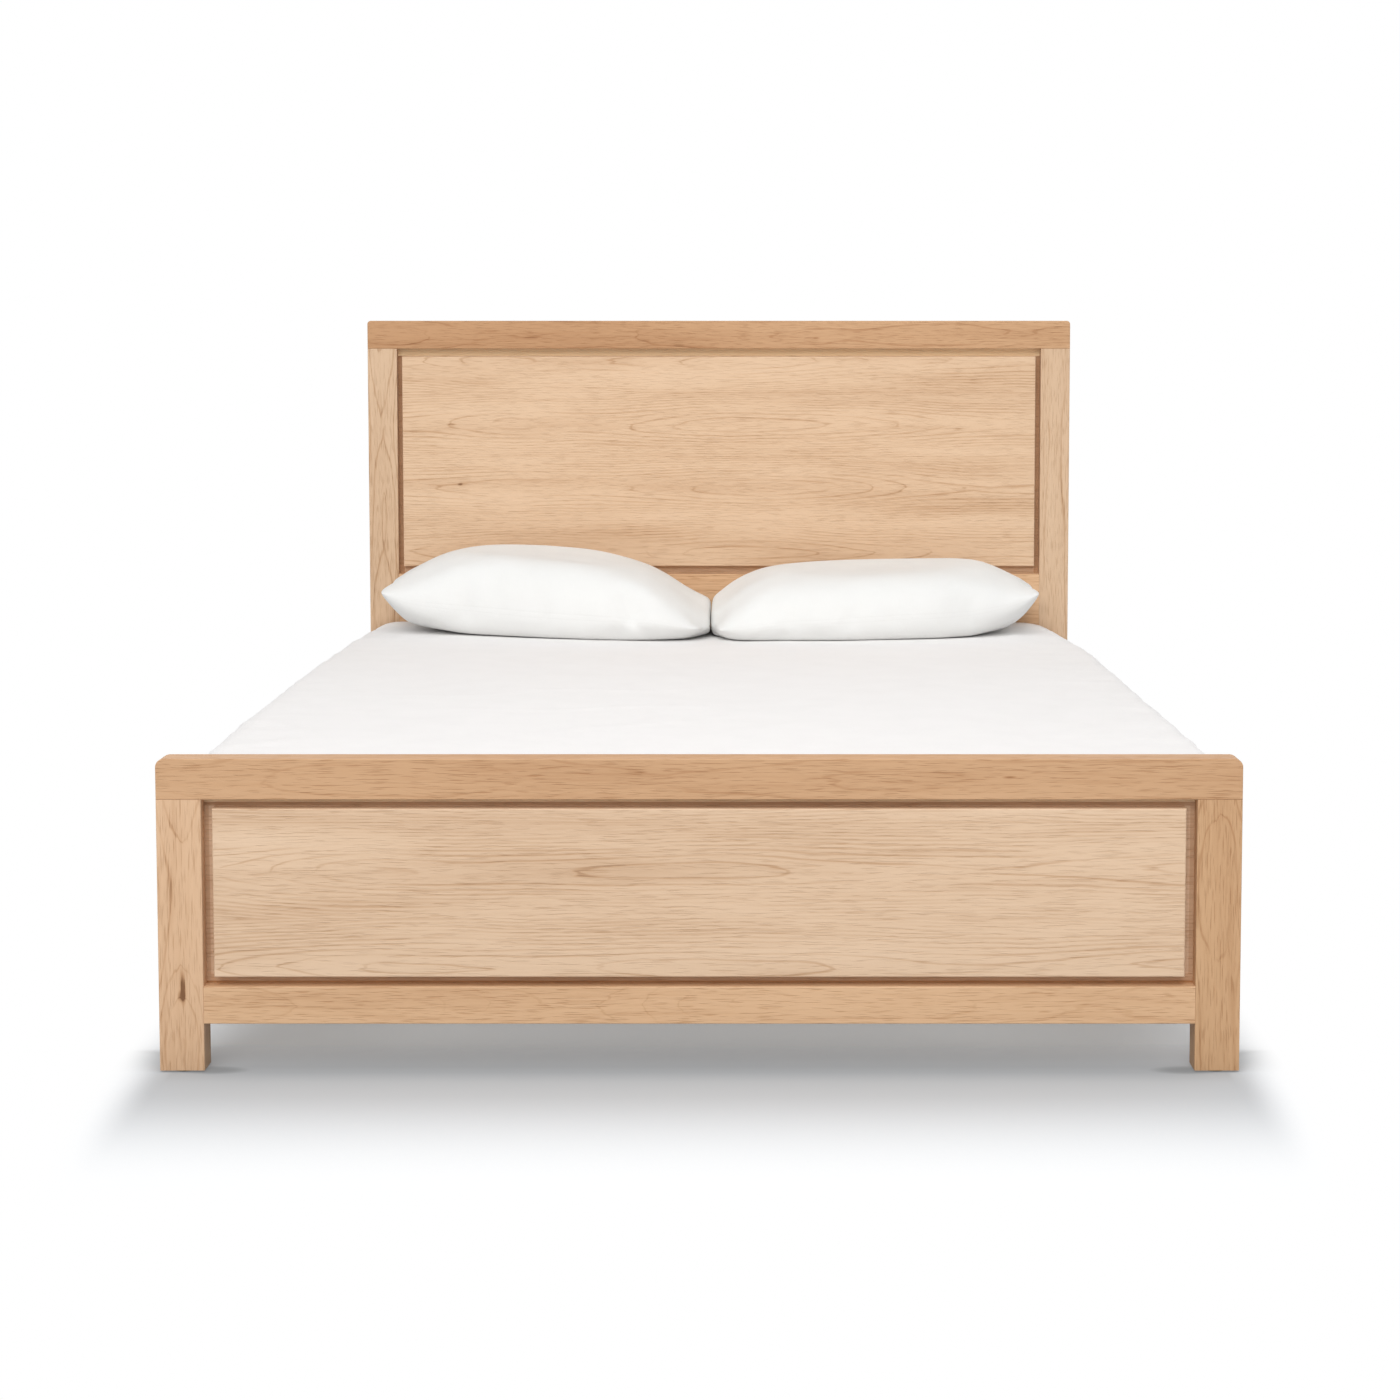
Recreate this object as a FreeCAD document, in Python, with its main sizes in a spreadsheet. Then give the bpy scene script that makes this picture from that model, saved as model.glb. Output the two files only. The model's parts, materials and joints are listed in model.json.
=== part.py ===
import FreeCAD, Part
import os
import re
import Sketcher
from FreeCAD import Placement, Rotation, Vector

# A queen-size bed of oak, frame and panel at both ends.
# X runs across the bed, +Y from the footboard to the headboard, +Z up.
# The origin is on the floor under the middle of the bed.

SIZES = {
    # Mattress and the room left around it
    "mattress_width": 1530,
    "mattress_length": 2030,
    "mattress_height": 230,
    "mattress_corner": 60,
    "mattress_edge": 20,
    "end_gap": 10,
    "side_gap": 22,
    "soft_clear": 0.3,
    # Boards: posts, rails and the panel between them
    "board_thickness": 45,
    "post_width": 68,
    "arris": 1.5,
    "foot_height": 481,
    "foot_top_rail": 62,
    "foot_corner": 13,
    "head_height": 1158,
    "head_top_rail": 65,
    "head_corner": 8,
    "low_rail_base": 75,
    "low_rail_height": 57.5,
    "middle_rail_top": 565,
    "middle_rail_height": 140,
    # Panels: a tongue all round in a groove, and a raised field
    "tongue_setback": 24,
    "tongue_thickness": 10,
    "tongue_depth": 10,
    "tongue_clear": 0.15,
    "groove_spare": 1,
    "field_setback": 1.5,
    "field_round": 2.5,
    "foot_channel_side": 16,
    "foot_channel_end": 14,
    "head_channel_side": 11.5,
    "head_channel_end": 18,
    # Dowels of the boards' joints
    "dowel_diameter": 10,
    "dowel_length": 60,
    "dowel_pitch": 26,
    "dowel_setback": 14,
    "dowel_clear": 0.1,
    "dowel_spare": 1,
    # Side rails, cleats and slats
    "rail_thickness": 25,
    "rail_inset": 8,
    "rail_base": 130,
    "rail_height": 170,
    "slat_level": 205,
    "slat_count": 14,
    "slat_width": 70,
    "slat_thickness": 18,
    "slat_end_gap": 12,
    "slat_round": 3,
    "cleat_width": 30,
    "cleat_height": 30,
    "cleat_end_gap": 60,
    "strap_place": 500,
    "strap_width": 25,
    "strap_thickness": 1.5,
    # Centre beam, its hangers and legs
    "beam_width": 45,
    "beam_height": 70,
    "beam_end_gap": 8,
    "leg_side": 45,
    "leg_place": 450,
    "leg_lift": 30,
    "steel": 3,
    "hanger_width": 84,
    "hanger_height": 50,
    "hanger_reach": 60,
    "cheek_height": 40,
    "hanger_clear": 0.2,
    "hanger_screw_place": 33,
    "hanger_screw_edge": 14,
    "cheek_screw_edge": 20,
    # Corner brackets
    "bracket_base": 138,
    "bracket_height": 60,
    "bracket_rail_leg": 50,
    "bracket_post_leg": 30,
    "bracket_bolt_place": 17,
    "bracket_screw_place": 32,
    "bracket_hole_edge": 15,
    # Fasteners and feet
    "bolt_diameter": 8,
    "bolt_length": 38,
    "bolt_head_across": 13,
    "bolt_head_height": 5.3,
    "bolt_clear": 0.2,
    "screw_diameter": 4,
    "screw_head": 8,
    "screw_clear": 0.15,
    "slat_screw_length": 28,
    "slat_screw_edge": 9,
    "cleat_screw_length": 42,
    "cleat_screw_rise": 8,
    "cleat_screw_count": 7,
    "plate_screw_length": 20,
    "plate_screw_head_height": 2.4,
    "leg_bolt_length": 70,
    "foot_pad_diameter": 40,
    "foot_pad_height": 8,
    "foot_pad_round": 1.5,
    "foot_nut_across": 13,
    "foot_nut_height": 6,
    "foot_stem_length": 55,
    "foot_travel_up": 10,
    "glide_diameter": 34,
    "glide_height": 3,
    "glide_pin_diameter": 3,
    "glide_pin_length": 12,
    # Quilt
    "quilt_thickness": 18,
    "quilt_foot_skirt": 8.7,
    "quilt_hem": 262,
    "quilt_rail_clear": 4,
    "quilt_bulge": 34,
    "quilt_bulge_height": 392,
    "quilt_shoulder_width": 38,
    "quilt_shoulder_drop": 13,
    "quilt_head_gap": 3,
    # Pillows
    "pillow_width": 740,
    "pillow_depth": 435,
    "pillow_left_thickness": 186,
    "pillow_right_thickness": 154,
    "pillow_gap": 6,
    "pillow_shift": 15,
    "pillow_back_gap": 5,
    # A cut runs this far past the face that it opens
    "overrun": 2,
}

# Sizes that follow from the ones above
RELATIONS = {
    "rail_inner": "mattress_width / 2 + side_gap",
    "half_width": "rail_inner + rail_thickness + rail_inset",
    "inner_face": "mattress_length / 2 + end_gap",
    "outer_face": "inner_face + board_thickness",
    "post_inner": "half_width - post_width",
    "post_centre": "half_width - post_width / 2",
    "foot_rail_base": "foot_height - foot_top_rail",
    "head_rail_base": "head_height - head_top_rail",
    "low_rail_top": "low_rail_base + low_rail_height",
    "low_rail_centre": "low_rail_base + low_rail_height / 2",
    "middle_rail_base": "middle_rail_top - middle_rail_height",
    "middle_rail_centre": "middle_rail_top - middle_rail_height / 2",
    "tongue_middle": "tongue_setback + tongue_thickness / 2",
    "groove_width": "tongue_thickness + 2 * tongue_clear",
    "groove_depth": "tongue_depth + groove_spare",
    "dowel_hole": "dowel_diameter + 2 * dowel_clear",
    "dowel_hole_length": "dowel_length + 2 * dowel_spare",
    "cleat_top": "slat_level - slat_thickness",
    "cleat_base": "cleat_top - cleat_height",
    "cleat_reach": "inner_face - cleat_end_gap",
    "slat_reach": "cleat_reach - slat_width / 2",
    "slat_half_length": "rail_inner - slat_end_gap",
    "slat_screw_place": "slat_half_length - slat_screw_edge",
    "cleat_screw_reach": "cleat_reach - slat_width",
    "beam_base": "cleat_top - beam_height",
    "beam_half_length": "inner_face - beam_end_gap",
    "hanger_cheek_place": "beam_width / 2 + hanger_clear + steel / 2",
    "bolt_hole": "bolt_diameter + 2 * bolt_clear",
    "screw_hole": "screw_diameter + 2 * screw_clear",
    "screw_sink": "screw_head + 2 * screw_clear",
    "foot_hole_length": "foot_pad_height + foot_stem_length + foot_travel_up + overrun - leg_lift",
    "glide_pin_hole": "glide_pin_diameter + 2 * screw_clear",
}

PLANES = {"x": "YZ_Plane", "y": "XZ_Plane", "z": "XY_Plane"}
TURNS = {
    "+x": Rotation(Vector(0, 1, 0), 90),
    "-x": Rotation(Vector(0, 1, 0), -90),
    "+y": Rotation(Vector(1, 0, 0), -90),
    "-y": Rotation(Vector(1, 0, 0), 90),
    "+z": Rotation(),
    "-z": Rotation(Vector(1, 0, 0), 180),
}
WORD = re.compile(r"[a-z][a-z_]*")

doc = FreeCAD.newDocument("panelled_bed")
sheet = doc.addObject("Spreadsheet::Sheet", "Sizes")
for row, (name, value) in enumerate(SIZES.items(), start=1):
    sheet.set(f"A{row}", name)
    sheet.set(f"B{row}", str(value))
    sheet.setAlias(f"B{row}", name)
doc.recompute()

parts = []
cuts = []


def formula(text):
    """The expression on the sheet's cells that a line of named sizes stands for."""
    def spell(match):
        word = match.group()
        if word in SIZES:
            return f"Sizes.{word}"
        if word in RELATIONS:
            return f"({formula(RELATIONS[word])})"
        return word
    return WORD.sub(spell, str(text))


def cell(name):
    """A size's number, as the sheet holds it."""
    return float(sheet.get(name))


# Ways of working a piece

def place(thing, at, turn=Rotation()):
    thing.Placement = Placement(Vector(), turn)
    for axis, text in zip("xyz", at):
        if text != 0:
            thing.setExpression(f".Placement.Base.{axis}", formula(text))


def new_piece(label, at=(0, 0, 0)):
    body = doc.addObject("PartDesign::Body", label)
    body.Label = label
    place(body, at)
    parts.append(body)
    return body


def origin_plane(body, axis):
    return [item for item in body.Origin.OriginFeatures if item.Role == PLANES[axis]][0]


def sketch_across(body, name, axis, centre):
    """A sketch square to an axis, with its own origin at the given centre."""
    x, y, z = (formula(text) for text in centre)
    offset = {"x": (y, z, x), "y": (x, z, f"-({y})"), "z": (x, y, z)}[axis]
    sketch = body.newObject("Sketcher::SketchObject", name)
    sketch.AttachmentSupport = (origin_plane(body, axis), "")
    sketch.MapMode = "FlatFace"
    for direction, text in zip("xyz", offset):
        sketch.setExpression(f".AttachmentOffset.Base.{direction}", text)
    return sketch


def name_length(sketch, kind, first, first_end, second, second_end, name, text):
    number = sketch.addConstraint(Sketcher.Constraint(kind, first, first_end, second, second_end, 1.0))
    sketch.renameConstraint(number, name)
    sketch.setExpression(f"Constraints.{name}", formula(text))


def centred_rectangle(sketch, across, upright):
    corners = [Vector(-1, -1, 0), Vector(1, -1, 0), Vector(1, 1, 0), Vector(-1, 1, 0)]
    for number in range(4):
        sketch.addGeometry(Part.LineSegment(corners[number], corners[(number + 1) % 4]), False)
    for number in range(4):
        sketch.addConstraint(Sketcher.Constraint("Coincident", number, 2, (number + 1) % 4, 1))
    sketch.addConstraint(Sketcher.Constraint("Horizontal", 0))
    sketch.addConstraint(Sketcher.Constraint("Horizontal", 2))
    sketch.addConstraint(Sketcher.Constraint("Vertical", 1))
    sketch.addConstraint(Sketcher.Constraint("Vertical", 3))
    sketch.addConstraint(Sketcher.Constraint("Symmetric", 0, 1, 2, 1, -1, 1))
    name_length(sketch, "DistanceX", 0, 1, 0, 2, "across", across)
    name_length(sketch, "DistanceY", 1, 1, 1, 2, "upright", upright)


def block(body, name, axis, centre, size, cut=False):
    """A rectangular prism, drawn square to an axis, that is added or cut away."""
    x, y, z = size
    across, upright, length = {"x": (y, z, x), "y": (x, z, y), "z": (x, y, z)}[axis]
    sketch = sketch_across(body, f"{name}_outline", axis, centre)
    centred_rectangle(sketch, across, upright)
    feature = body.newObject("PartDesign::Pocket" if cut else "PartDesign::Pad", name)
    feature.Profile = sketch
    feature.Midplane = True
    feature.setExpression("Length", formula(length))
    if cut:
        cuts.append(feature)
    return feature


def drill(body, name, at, way, diameter, depth):
    """A plain round hole that starts at a point and runs one way."""
    feature = body.newObject("PartDesign::SubtractiveCylinder", name)
    place(feature, at, TURNS[way])
    feature.setExpression("Radius", formula(f"({diameter}) / 2"))
    feature.setExpression("Height", formula(depth))
    cuts.append(feature)
    return feature


def pin(body, name, at, way, diameter, length):
    """A plain round pin that starts at a point and runs one way."""
    feature = body.newObject("PartDesign::AdditiveCylinder", name)
    place(feature, at, TURNS[way])
    feature.setExpression("Radius", formula(f"({diameter}) / 2"))
    feature.setExpression("Height", formula(length))
    return feature


def taper(body, name, at, way, wide, narrow, length):
    """A countersunk head, wide at its start."""
    feature = body.newObject("PartDesign::AdditiveCone", name)
    place(feature, at, TURNS[way])
    feature.setExpression("Radius1", formula(f"({wide}) / 2"))
    feature.setExpression("Radius2", formula(f"({narrow}) / 2"))
    feature.setExpression("Height", formula(length))
    return feature


def hexagon(body, name, at, way, across, length):
    """A hexagon head or nut, measured across its flats."""
    feature = body.newObject("PartDesign::AdditivePrism", name)
    feature.Polygon = 6
    place(feature, at, TURNS[way])
    feature.setExpression("Circumradius", formula(f"({across}) / sqrt(3)"))
    feature.setExpression("Height", formula(length))
    return feature


def runs_along(axis):
    """Picks the straight edges that run along an axis."""
    def pick(edge, bounds):
        lengths = {"x": edge.BoundBox.XLength, "y": edge.BoundBox.YLength, "z": edge.BoundBox.ZLength}
        return lengths[axis] > 0.99 * edge.Length
    return pick


def lies_on(*faces):
    """Picks the edges that lie in the named limits of the piece, such as YMin."""
    def pick(edge, bounds):
        for face in faces:
            axis = face[0]
            flat = getattr(edge.BoundBox, f"{axis}Length") < 1e-3
            if flat and abs(getattr(edge.BoundBox, face) - getattr(bounds, face)) < 1e-3:
                return True
        return False
    return pick


def both(first, second):
    return lambda edge, bounds: first(edge, bounds) and second(edge, bounds)


def round_over(body, name, base, radius, pick):
    """A fillet on the edges of the last feature that the rule picks."""
    doc.recompute()
    bounds = base.Shape.BoundBox
    chosen = [f"Edge{number}" for number, edge in enumerate(base.Shape.Edges, start=1) if pick(edge, bounds)]
    feature = body.newObject("PartDesign::Fillet", name)
    feature.Base = (base, chosen)
    feature.setExpression("Radius", formula(radius))
    return feature


def row_along(body, name, features, axis, length, count):
    """Evenly spaced copies towards the plus side of an axis, of some cuts or else of the whole piece so far."""
    pattern = body.newObject("PartDesign::LinearPattern", name)
    if features:
        pattern.Originals = features
    else:
        pattern.TransformMode = "Whole shape"
    pattern.Direction = (origin_plane(body, axis), [""])
    pattern.Reversed = axis == "y"
    pattern.setExpression("Length", formula(length))
    pattern.setExpression("Occurrences", formula(count))
    body.Tip = pattern
    return pattern


def mirror_across(body, name, axis):
    """The whole piece so far, repeated on the other side of a middle plane."""
    mirror = body.newObject("PartDesign::Mirrored", name)
    mirror.TransformMode = "Whole shape"
    mirror.MirrorPlane = (origin_plane(body, axis), [""])
    body.Tip = mirror
    return mirror


# Footboard and headboard
# A board's pieces are measured back from its front face and up from the floor.

BOARDS = {
    "footboard": {
        "front": "-(outer_face)",
        "steel_face": "board_thickness",
        "steel_way": "-y",
        "top_base": "foot_rail_base",
        "top_height": "foot_top_rail",
        "top_corner": "foot_corner",
        "panel_seat": "low_rail_top",
        "channel_side": "foot_channel_side",
        "channel_end": "foot_channel_end",
        "rail_middles": ["low_rail_centre"],
    },
    "headboard": {
        "front": "inner_face",
        "steel_face": "0",
        "steel_way": "+y",
        "top_base": "head_rail_base",
        "top_height": "head_top_rail",
        "top_corner": "head_corner",
        "panel_seat": "middle_rail_top",
        "channel_side": "head_channel_side",
        "channel_end": "head_channel_end",
        "rail_middles": ["low_rail_centre", "middle_rail_centre"],
    },
}
SIDES = {"left": "-1", "right": "1"}


def dowel_heights(board):
    """The heights of the level dowels, two to each rail between the posts."""
    return [f"{middle} {sign} dowel_pitch / 2" for middle in board["rail_middles"] for sign in "-+"]


def post(board_name, side_name):
    board = BOARDS[board_name]
    side = SIDES[side_name]
    top = board["top_base"]
    body = new_piece(f"{board_name}_post_{side_name}", (f"{side} * post_centre", board["front"], 0))
    stock = block(body, "stock", "z", ("0", "board_thickness / 2", f"(glide_height + {top}) / 2"),
                  ("post_width", "board_thickness", f"{top} - glide_height"))
    round_over(body, "arrises", stock, "arris", runs_along("z"))
    seat = f"({board['panel_seat']} - groove_depth)"
    block(body, "groove", "z",
          (f"-{side} * (post_width - groove_depth) / 2", "tongue_middle", f"({seat} + {top}) / 2"),
          ("groove_depth", "groove_width", f"{top} - {seat}"), cut=True)
    inner = f"-{side} * post_width / 2"
    for number, height in enumerate(dowel_heights(board), start=1):
        drill(body, f"rail_dowel_hole_{number}", (inner, "dowel_setback", height),
              "+x" if side_name == "right" else "-x", "dowel_hole", "dowel_hole_length / 2")
    for number, sign in enumerate("-+", start=1):
        drill(body, f"top_dowel_hole_{number}", (f"{sign} dowel_pitch / 2", "dowel_setback", top),
              "-z", "dowel_hole", "dowel_hole_length / 2")
        height = f"bracket_base + bracket_height / 2 {sign} (bracket_height / 2 - bracket_hole_edge)"
        drill(body, f"bolt_hole_{number}",
              (f"{side} * (rail_inner - bracket_bolt_place - post_centre)", board["steel_face"], height),
              board["steel_way"], "bolt_hole", "bolt_length - steel + overrun")
    drill(body, "glide_pin_hole", ("0", "board_thickness / 2", "glide_height"), "+z",
          "glide_pin_hole", "glide_pin_length + overrun")
    return body


def drill_rail_ends(body, heights):
    for side_name, side in SIDES.items():
        way = "-x" if side_name == "right" else "+x"
        for number, height in enumerate(heights, start=1):
            drill(body, f"dowel_hole_{side_name}_{number}", (f"{side} * post_inner", "dowel_setback", height),
                  way, "dowel_hole", "dowel_hole_length / 2")


def cross_rail(board_name, label, base, height, grooved):
    """A rail between the posts, grooved on top where a panel stands on it."""
    body = new_piece(label, (0, BOARDS[board_name]["front"], 0))
    middle = f"({base} + {height} / 2)"
    stock = block(body, "stock", "x", ("0", "board_thickness / 2", middle),
                  ("2 * post_inner", "board_thickness", height))
    round_over(body, "arrises", stock, "arris", runs_along("x"))
    if grooved:
        block(body, "groove", "x", ("0", "tongue_middle", f"{base} + {height} - tongue_depth / 2"),
              ("2 * post_inner", "groove_width", "tongue_depth"), cut=True)
    drill_rail_ends(body, [f"{middle} {sign} dowel_pitch / 2" for sign in "-+"])
    return body


def top_rail(board_name):
    """The rail that lies over both posts, with its two upper corners rounded."""
    board = BOARDS[board_name]
    base = board["top_base"]
    body = new_piece(f"{board_name}_top_rail", (0, board["front"], 0))
    stock = block(body, "stock", "y", ("0", "board_thickness / 2", f"{base} + {board['top_height']} / 2"),
                  ("2 * half_width", "board_thickness", board["top_height"]))
    corners = round_over(body, "corners", stock, board["top_corner"], both(runs_along("y"), lies_on("ZMax")))
    round_over(body, "arrises", corners, "arris", lies_on("YMin", "YMax"))
    block(body, "groove", "x", ("0", "tongue_middle", f"{base} + groove_depth / 2"),
          ("2 * (post_inner + groove_depth)", "groove_width", "groove_depth"), cut=True)
    for side_name, side in SIDES.items():
        for number, sign in enumerate("-+", start=1):
            drill(body, f"dowel_hole_{side_name}_{number}",
                  (f"{side} * post_centre {sign} dowel_pitch / 2", "dowel_setback", base),
                  "+z", "dowel_hole", "dowel_hole_length / 2")
    return body


def panel(board_name):
    board = BOARDS[board_name]
    body = new_piece(f"{board_name}_panel", (0, board["front"], 0))
    middle = f"({board['panel_seat']} + {board['top_base']}) / 2"
    opening = f"({board['top_base']} - {board['panel_seat']})"
    block(body, "tongue_board", "y", ("0", "tongue_middle", middle),
          ("2 * (post_inner + tongue_depth)", "tongue_thickness", f"{opening} + 2 * tongue_depth"))
    field = block(body, "field", "y", ("0", "(field_setback + tongue_setback) / 2", middle),
                  (f"2 * (post_inner - {board['channel_side']})", "tongue_setback - field_setback",
                   f"{opening} - 2 * {board['channel_end']}"))
    round_over(body, "field_edges", field, "field_round", lies_on("YMin"))
    return body


def dowels(board_name):
    """Every dowel of one board: level ones in the rail ends, upright ones in the post tops."""
    board = BOARDS[board_name]
    body = new_piece(f"{board_name}_dowels", (0, board["front"], 0))
    for number, height in enumerate(dowel_heights(board), start=1):
        pin(body, f"level_{number}", ("post_inner - dowel_length / 2", "dowel_setback", height),
            "+x", "dowel_diameter", "dowel_length")
    for number, sign in enumerate("-+", start=1):
        pin(body, f"upright_{number}",
            (f"post_centre {sign} dowel_pitch / 2", "dowel_setback", f"{board['top_base']} - dowel_length / 2"),
            "+z", "dowel_diameter", "dowel_length")
    mirror_across(body, "other_side", "x")
    return body


# Side rails, cleats, slats and straps

def side_rail(side_name):
    side = SIDES[side_name]
    body = new_piece(f"side_rail_{side_name}", (f"{side} * (rail_inner + rail_thickness / 2)", 0, 0))
    stock = block(body, "stock", "y", ("0", "0", "rail_base + rail_height / 2"),
                  ("rail_thickness", "2 * inner_face", "rail_height"))
    round_over(body, "arrises", stock, "arris", runs_along("y"))
    inner = f"-{side} * rail_thickness / 2"
    way = "+x" if side_name == "right" else "-x"
    first = drill(body, "cleat_screw_hole", (inner, "-cleat_screw_reach", "cleat_base + cleat_screw_rise"),
                  way, "screw_hole", "cleat_screw_length - cleat_width + overrun")
    row_along(body, "cleat_screw_holes", [first], "y", "2 * cleat_screw_reach", "cleat_screw_count")
    for end_name, end in (("foot", "-1"), ("head", "1")):
        for number, sign in enumerate("-+", start=1):
            height = f"bracket_base + bracket_height / 2 {sign} (bracket_height / 2 - bracket_hole_edge)"
            drill(body, f"bracket_screw_hole_{end_name}_{number}",
                  (inner, f"{end} * (inner_face - bracket_screw_place)", height),
                  way, "screw_hole", "plate_screw_length - steel + overrun")
    return body


def slat_cleat(side_name):
    side = SIDES[side_name]
    body = new_piece(f"slat_cleat_{side_name}", (f"{side} * (rail_inner - cleat_width / 2)", 0, 0))
    block(body, "stock", "y", ("0", "0", "cleat_base + cleat_height / 2"),
          ("cleat_width", "2 * cleat_reach", "cleat_height"))
    inner = f"-{side} * cleat_width / 2"
    way = "+x" if side_name == "right" else "-x"
    sink = body.newObject("PartDesign::SubtractiveCone", "screw_sink")
    place(sink, (inner, "-cleat_screw_reach", "cleat_base + cleat_screw_rise"), TURNS[way])
    sink.setExpression("Radius1", formula("screw_sink / 2"))
    sink.setExpression("Radius2", formula("screw_hole / 2"))
    sink.setExpression("Height", formula("(screw_head - screw_diameter) / 2"))
    first = drill(body, "rail_screw_hole", (inner, "-cleat_screw_reach", "cleat_base + cleat_screw_rise"),
                  way, "screw_hole", "cleat_width")
    row_along(body, "rail_screw_holes", [sink, first], "y", "2 * cleat_screw_reach", "cleat_screw_count")
    place_x = f"{side} * (slat_screw_place - rail_inner + cleat_width / 2)"
    second = drill(body, "slat_screw_hole", (place_x, "-slat_reach", "cleat_top"), "-z",
                   "screw_hole", "slat_screw_length - slat_thickness + overrun")
    row_along(body, "slat_screw_holes", [second], "y", "2 * slat_reach", "slat_count")
    return body


def slat(number, count):
    share = number / (count - 1)
    body = new_piece(f"slat_{number + 1:02d}", (0, f"(2 * {share} - 1) * slat_reach", "cleat_top"))
    stock = block(body, "stock", "x", ("0", "0", "slat_thickness / 2"),
                  ("2 * slat_half_length", "slat_width", "slat_thickness"))
    round_over(body, "edges", stock, "slat_round", runs_along("x"))
    sketch = sketch_across(body, "screw_places", "z", ("0", "0", "slat_thickness"))
    for side, point in ((-1, Vector(-1, 0, 0)), (1, Vector(1, 0, 0))):
        circle = sketch.addGeometry(Part.Circle(point, Vector(0, 0, 1), 0.5), False)
        name = "left" if side < 0 else "right"
        sketch.addConstraint(Sketcher.Constraint("PointOnObject", circle, 3, -1))
        sketch.renameConstraint(sketch.addConstraint(Sketcher.Constraint("Diameter", circle, 1.0)), f"{name}_hole")
        sketch.setExpression(f"Constraints.{name}_hole", formula("screw_hole"))
        ends = (circle, 3, -1, 1) if side < 0 else (-1, 1, circle, 3)
        name_length(sketch, "DistanceX", *ends, f"{name}_place", "slat_screw_place")
    doc.recompute()
    hole = body.newObject("PartDesign::Hole", "screw_holes")
    hole.Profile = sketch
    hole.DepthType = "ThroughAll"
    hole.HoleCutType = "Countersink"
    hole.HoleCutCustomValues = True
    hole.HoleCutCountersinkAngle = 90
    hole.setExpression("Diameter", formula("screw_hole"))
    hole.setExpression("HoleCutDiameter", formula("screw_sink"))
    cuts.append(hole)
    return body


def slat_strap(side_name):
    """A webbing strap under the slats, which keeps them at their spacing."""
    body = new_piece(f"slat_strap_{side_name}", (f"{SIDES[side_name]} * strap_place", 0, "cleat_top"))
    block(body, "webbing", "z", ("0", "0", "-strap_thickness / 2"),
          ("strap_width", "2 * slat_reach + slat_width", "strap_thickness"))
    return body


# Centre beam, hangers and legs

def centre_beam():
    body = new_piece("centre_beam")
    stock = block(body, "stock", "y", ("0", "0", "beam_base + beam_height / 2"),
                  ("beam_width", "2 * beam_half_length", "beam_height"))
    round_over(body, "arrises", stock, "arris", runs_along("y"))
    for end_name, end in (("foot", "-1"), ("head", "1")):
        drill(body, f"leg_bolt_hole_{end_name}", ("0", f"{end} * leg_place", "beam_base"), "+z",
              "bolt_hole", "leg_bolt_length / 2 + overrun")
        for side_name, side in SIDES.items():
            drill(body, f"cheek_screw_hole_{end_name}_{side_name}",
                  (f"{side} * beam_width / 2", f"{end} * (inner_face - hanger_reach + cheek_screw_edge)",
                   "beam_base + cheek_screw_edge"),
                  "-x" if side_name == "right" else "+x", "screw_hole", "beam_width / 2 - overrun")
    return body


def beam_hanger(end_name):
    """A steel cradle on a board's low rail, which the beam's end drops into."""
    end = {"foot": "-1", "head": "1"}[end_name]
    body = new_piece(f"beam_hanger_{end_name}", (0, f"{end} * inner_face", 0))
    middle = f"-({end}) * hanger_reach / 2"
    block(body, "back_plate", "y",
          ("0", f"-({end}) * steel / 2", "low_rail_top - hanger_height / 2"),
          ("hanger_width", "steel", "hanger_height"))
    block(body, "shelf", "z", ("0", middle, "beam_base - steel / 2"),
          ("2 * hanger_cheek_place + steel", "hanger_reach", "steel"))
    for side_name, side in SIDES.items():
        block(body, f"cheek_{side_name}", "x",
              (f"{side} * hanger_cheek_place", middle, "beam_base - steel + cheek_height / 2"),
              ("steel", "hanger_reach", "cheek_height"))
        drill(body, f"cheek_hole_{side_name}",
              (f"{side} * (hanger_cheek_place + steel / 2 + overrun)",
               f"-({end}) * (hanger_reach - cheek_screw_edge)", "beam_base + cheek_screw_edge"),
              "-x" if side_name == "right" else "+x", "screw_hole", "steel + 2 * overrun")
        for number, sign in enumerate("-+", start=1):
            height = f"low_rail_top - hanger_height / 2 {sign} (hanger_height / 2 - hanger_screw_edge)"
            drill(body, f"rail_hole_{side_name}_{number}",
                  (f"{side} * hanger_screw_place", f"-({end}) * (steel + overrun)", height),
                  "-y" if end_name == "foot" else "+y", "screw_hole", "steel + 2 * overrun")
    return body


def drill_hanger_screws(body, board_name):
    """The four screw holes in the back of a low rail that its hanger is fixed by."""
    board = BOARDS[board_name]
    for side_name, side in SIDES.items():
        for number, sign in enumerate("-+", start=1):
            height = f"low_rail_top - hanger_height / 2 {sign} (hanger_height / 2 - hanger_screw_edge)"
            drill(body, f"hanger_screw_hole_{side_name}_{number}",
                  (f"{side} * hanger_screw_place", board["steel_face"], height),
                  board["steel_way"], "screw_hole", "plate_screw_length - steel + overrun")


def centre_leg(end_name):
    end = {"front": "-1", "rear": "1"}[end_name]
    body = new_piece(f"centre_leg_{end_name}", (0, f"{end} * leg_place", 0))
    stock = block(body, "stock", "z", ("0", "0", "(leg_lift + beam_base) / 2"),
                  ("leg_side", "leg_side", "beam_base - leg_lift"))
    round_over(body, "arrises", stock, "arris", runs_along("z"))
    drill(body, "bolt_hole", ("0", "0", "beam_base"), "-z", "bolt_hole", "leg_bolt_length / 2 + overrun / 2")
    drill(body, "stem_hole", ("0", "0", "leg_lift"), "+z", "bolt_hole", "foot_hole_length")
    return body


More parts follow.
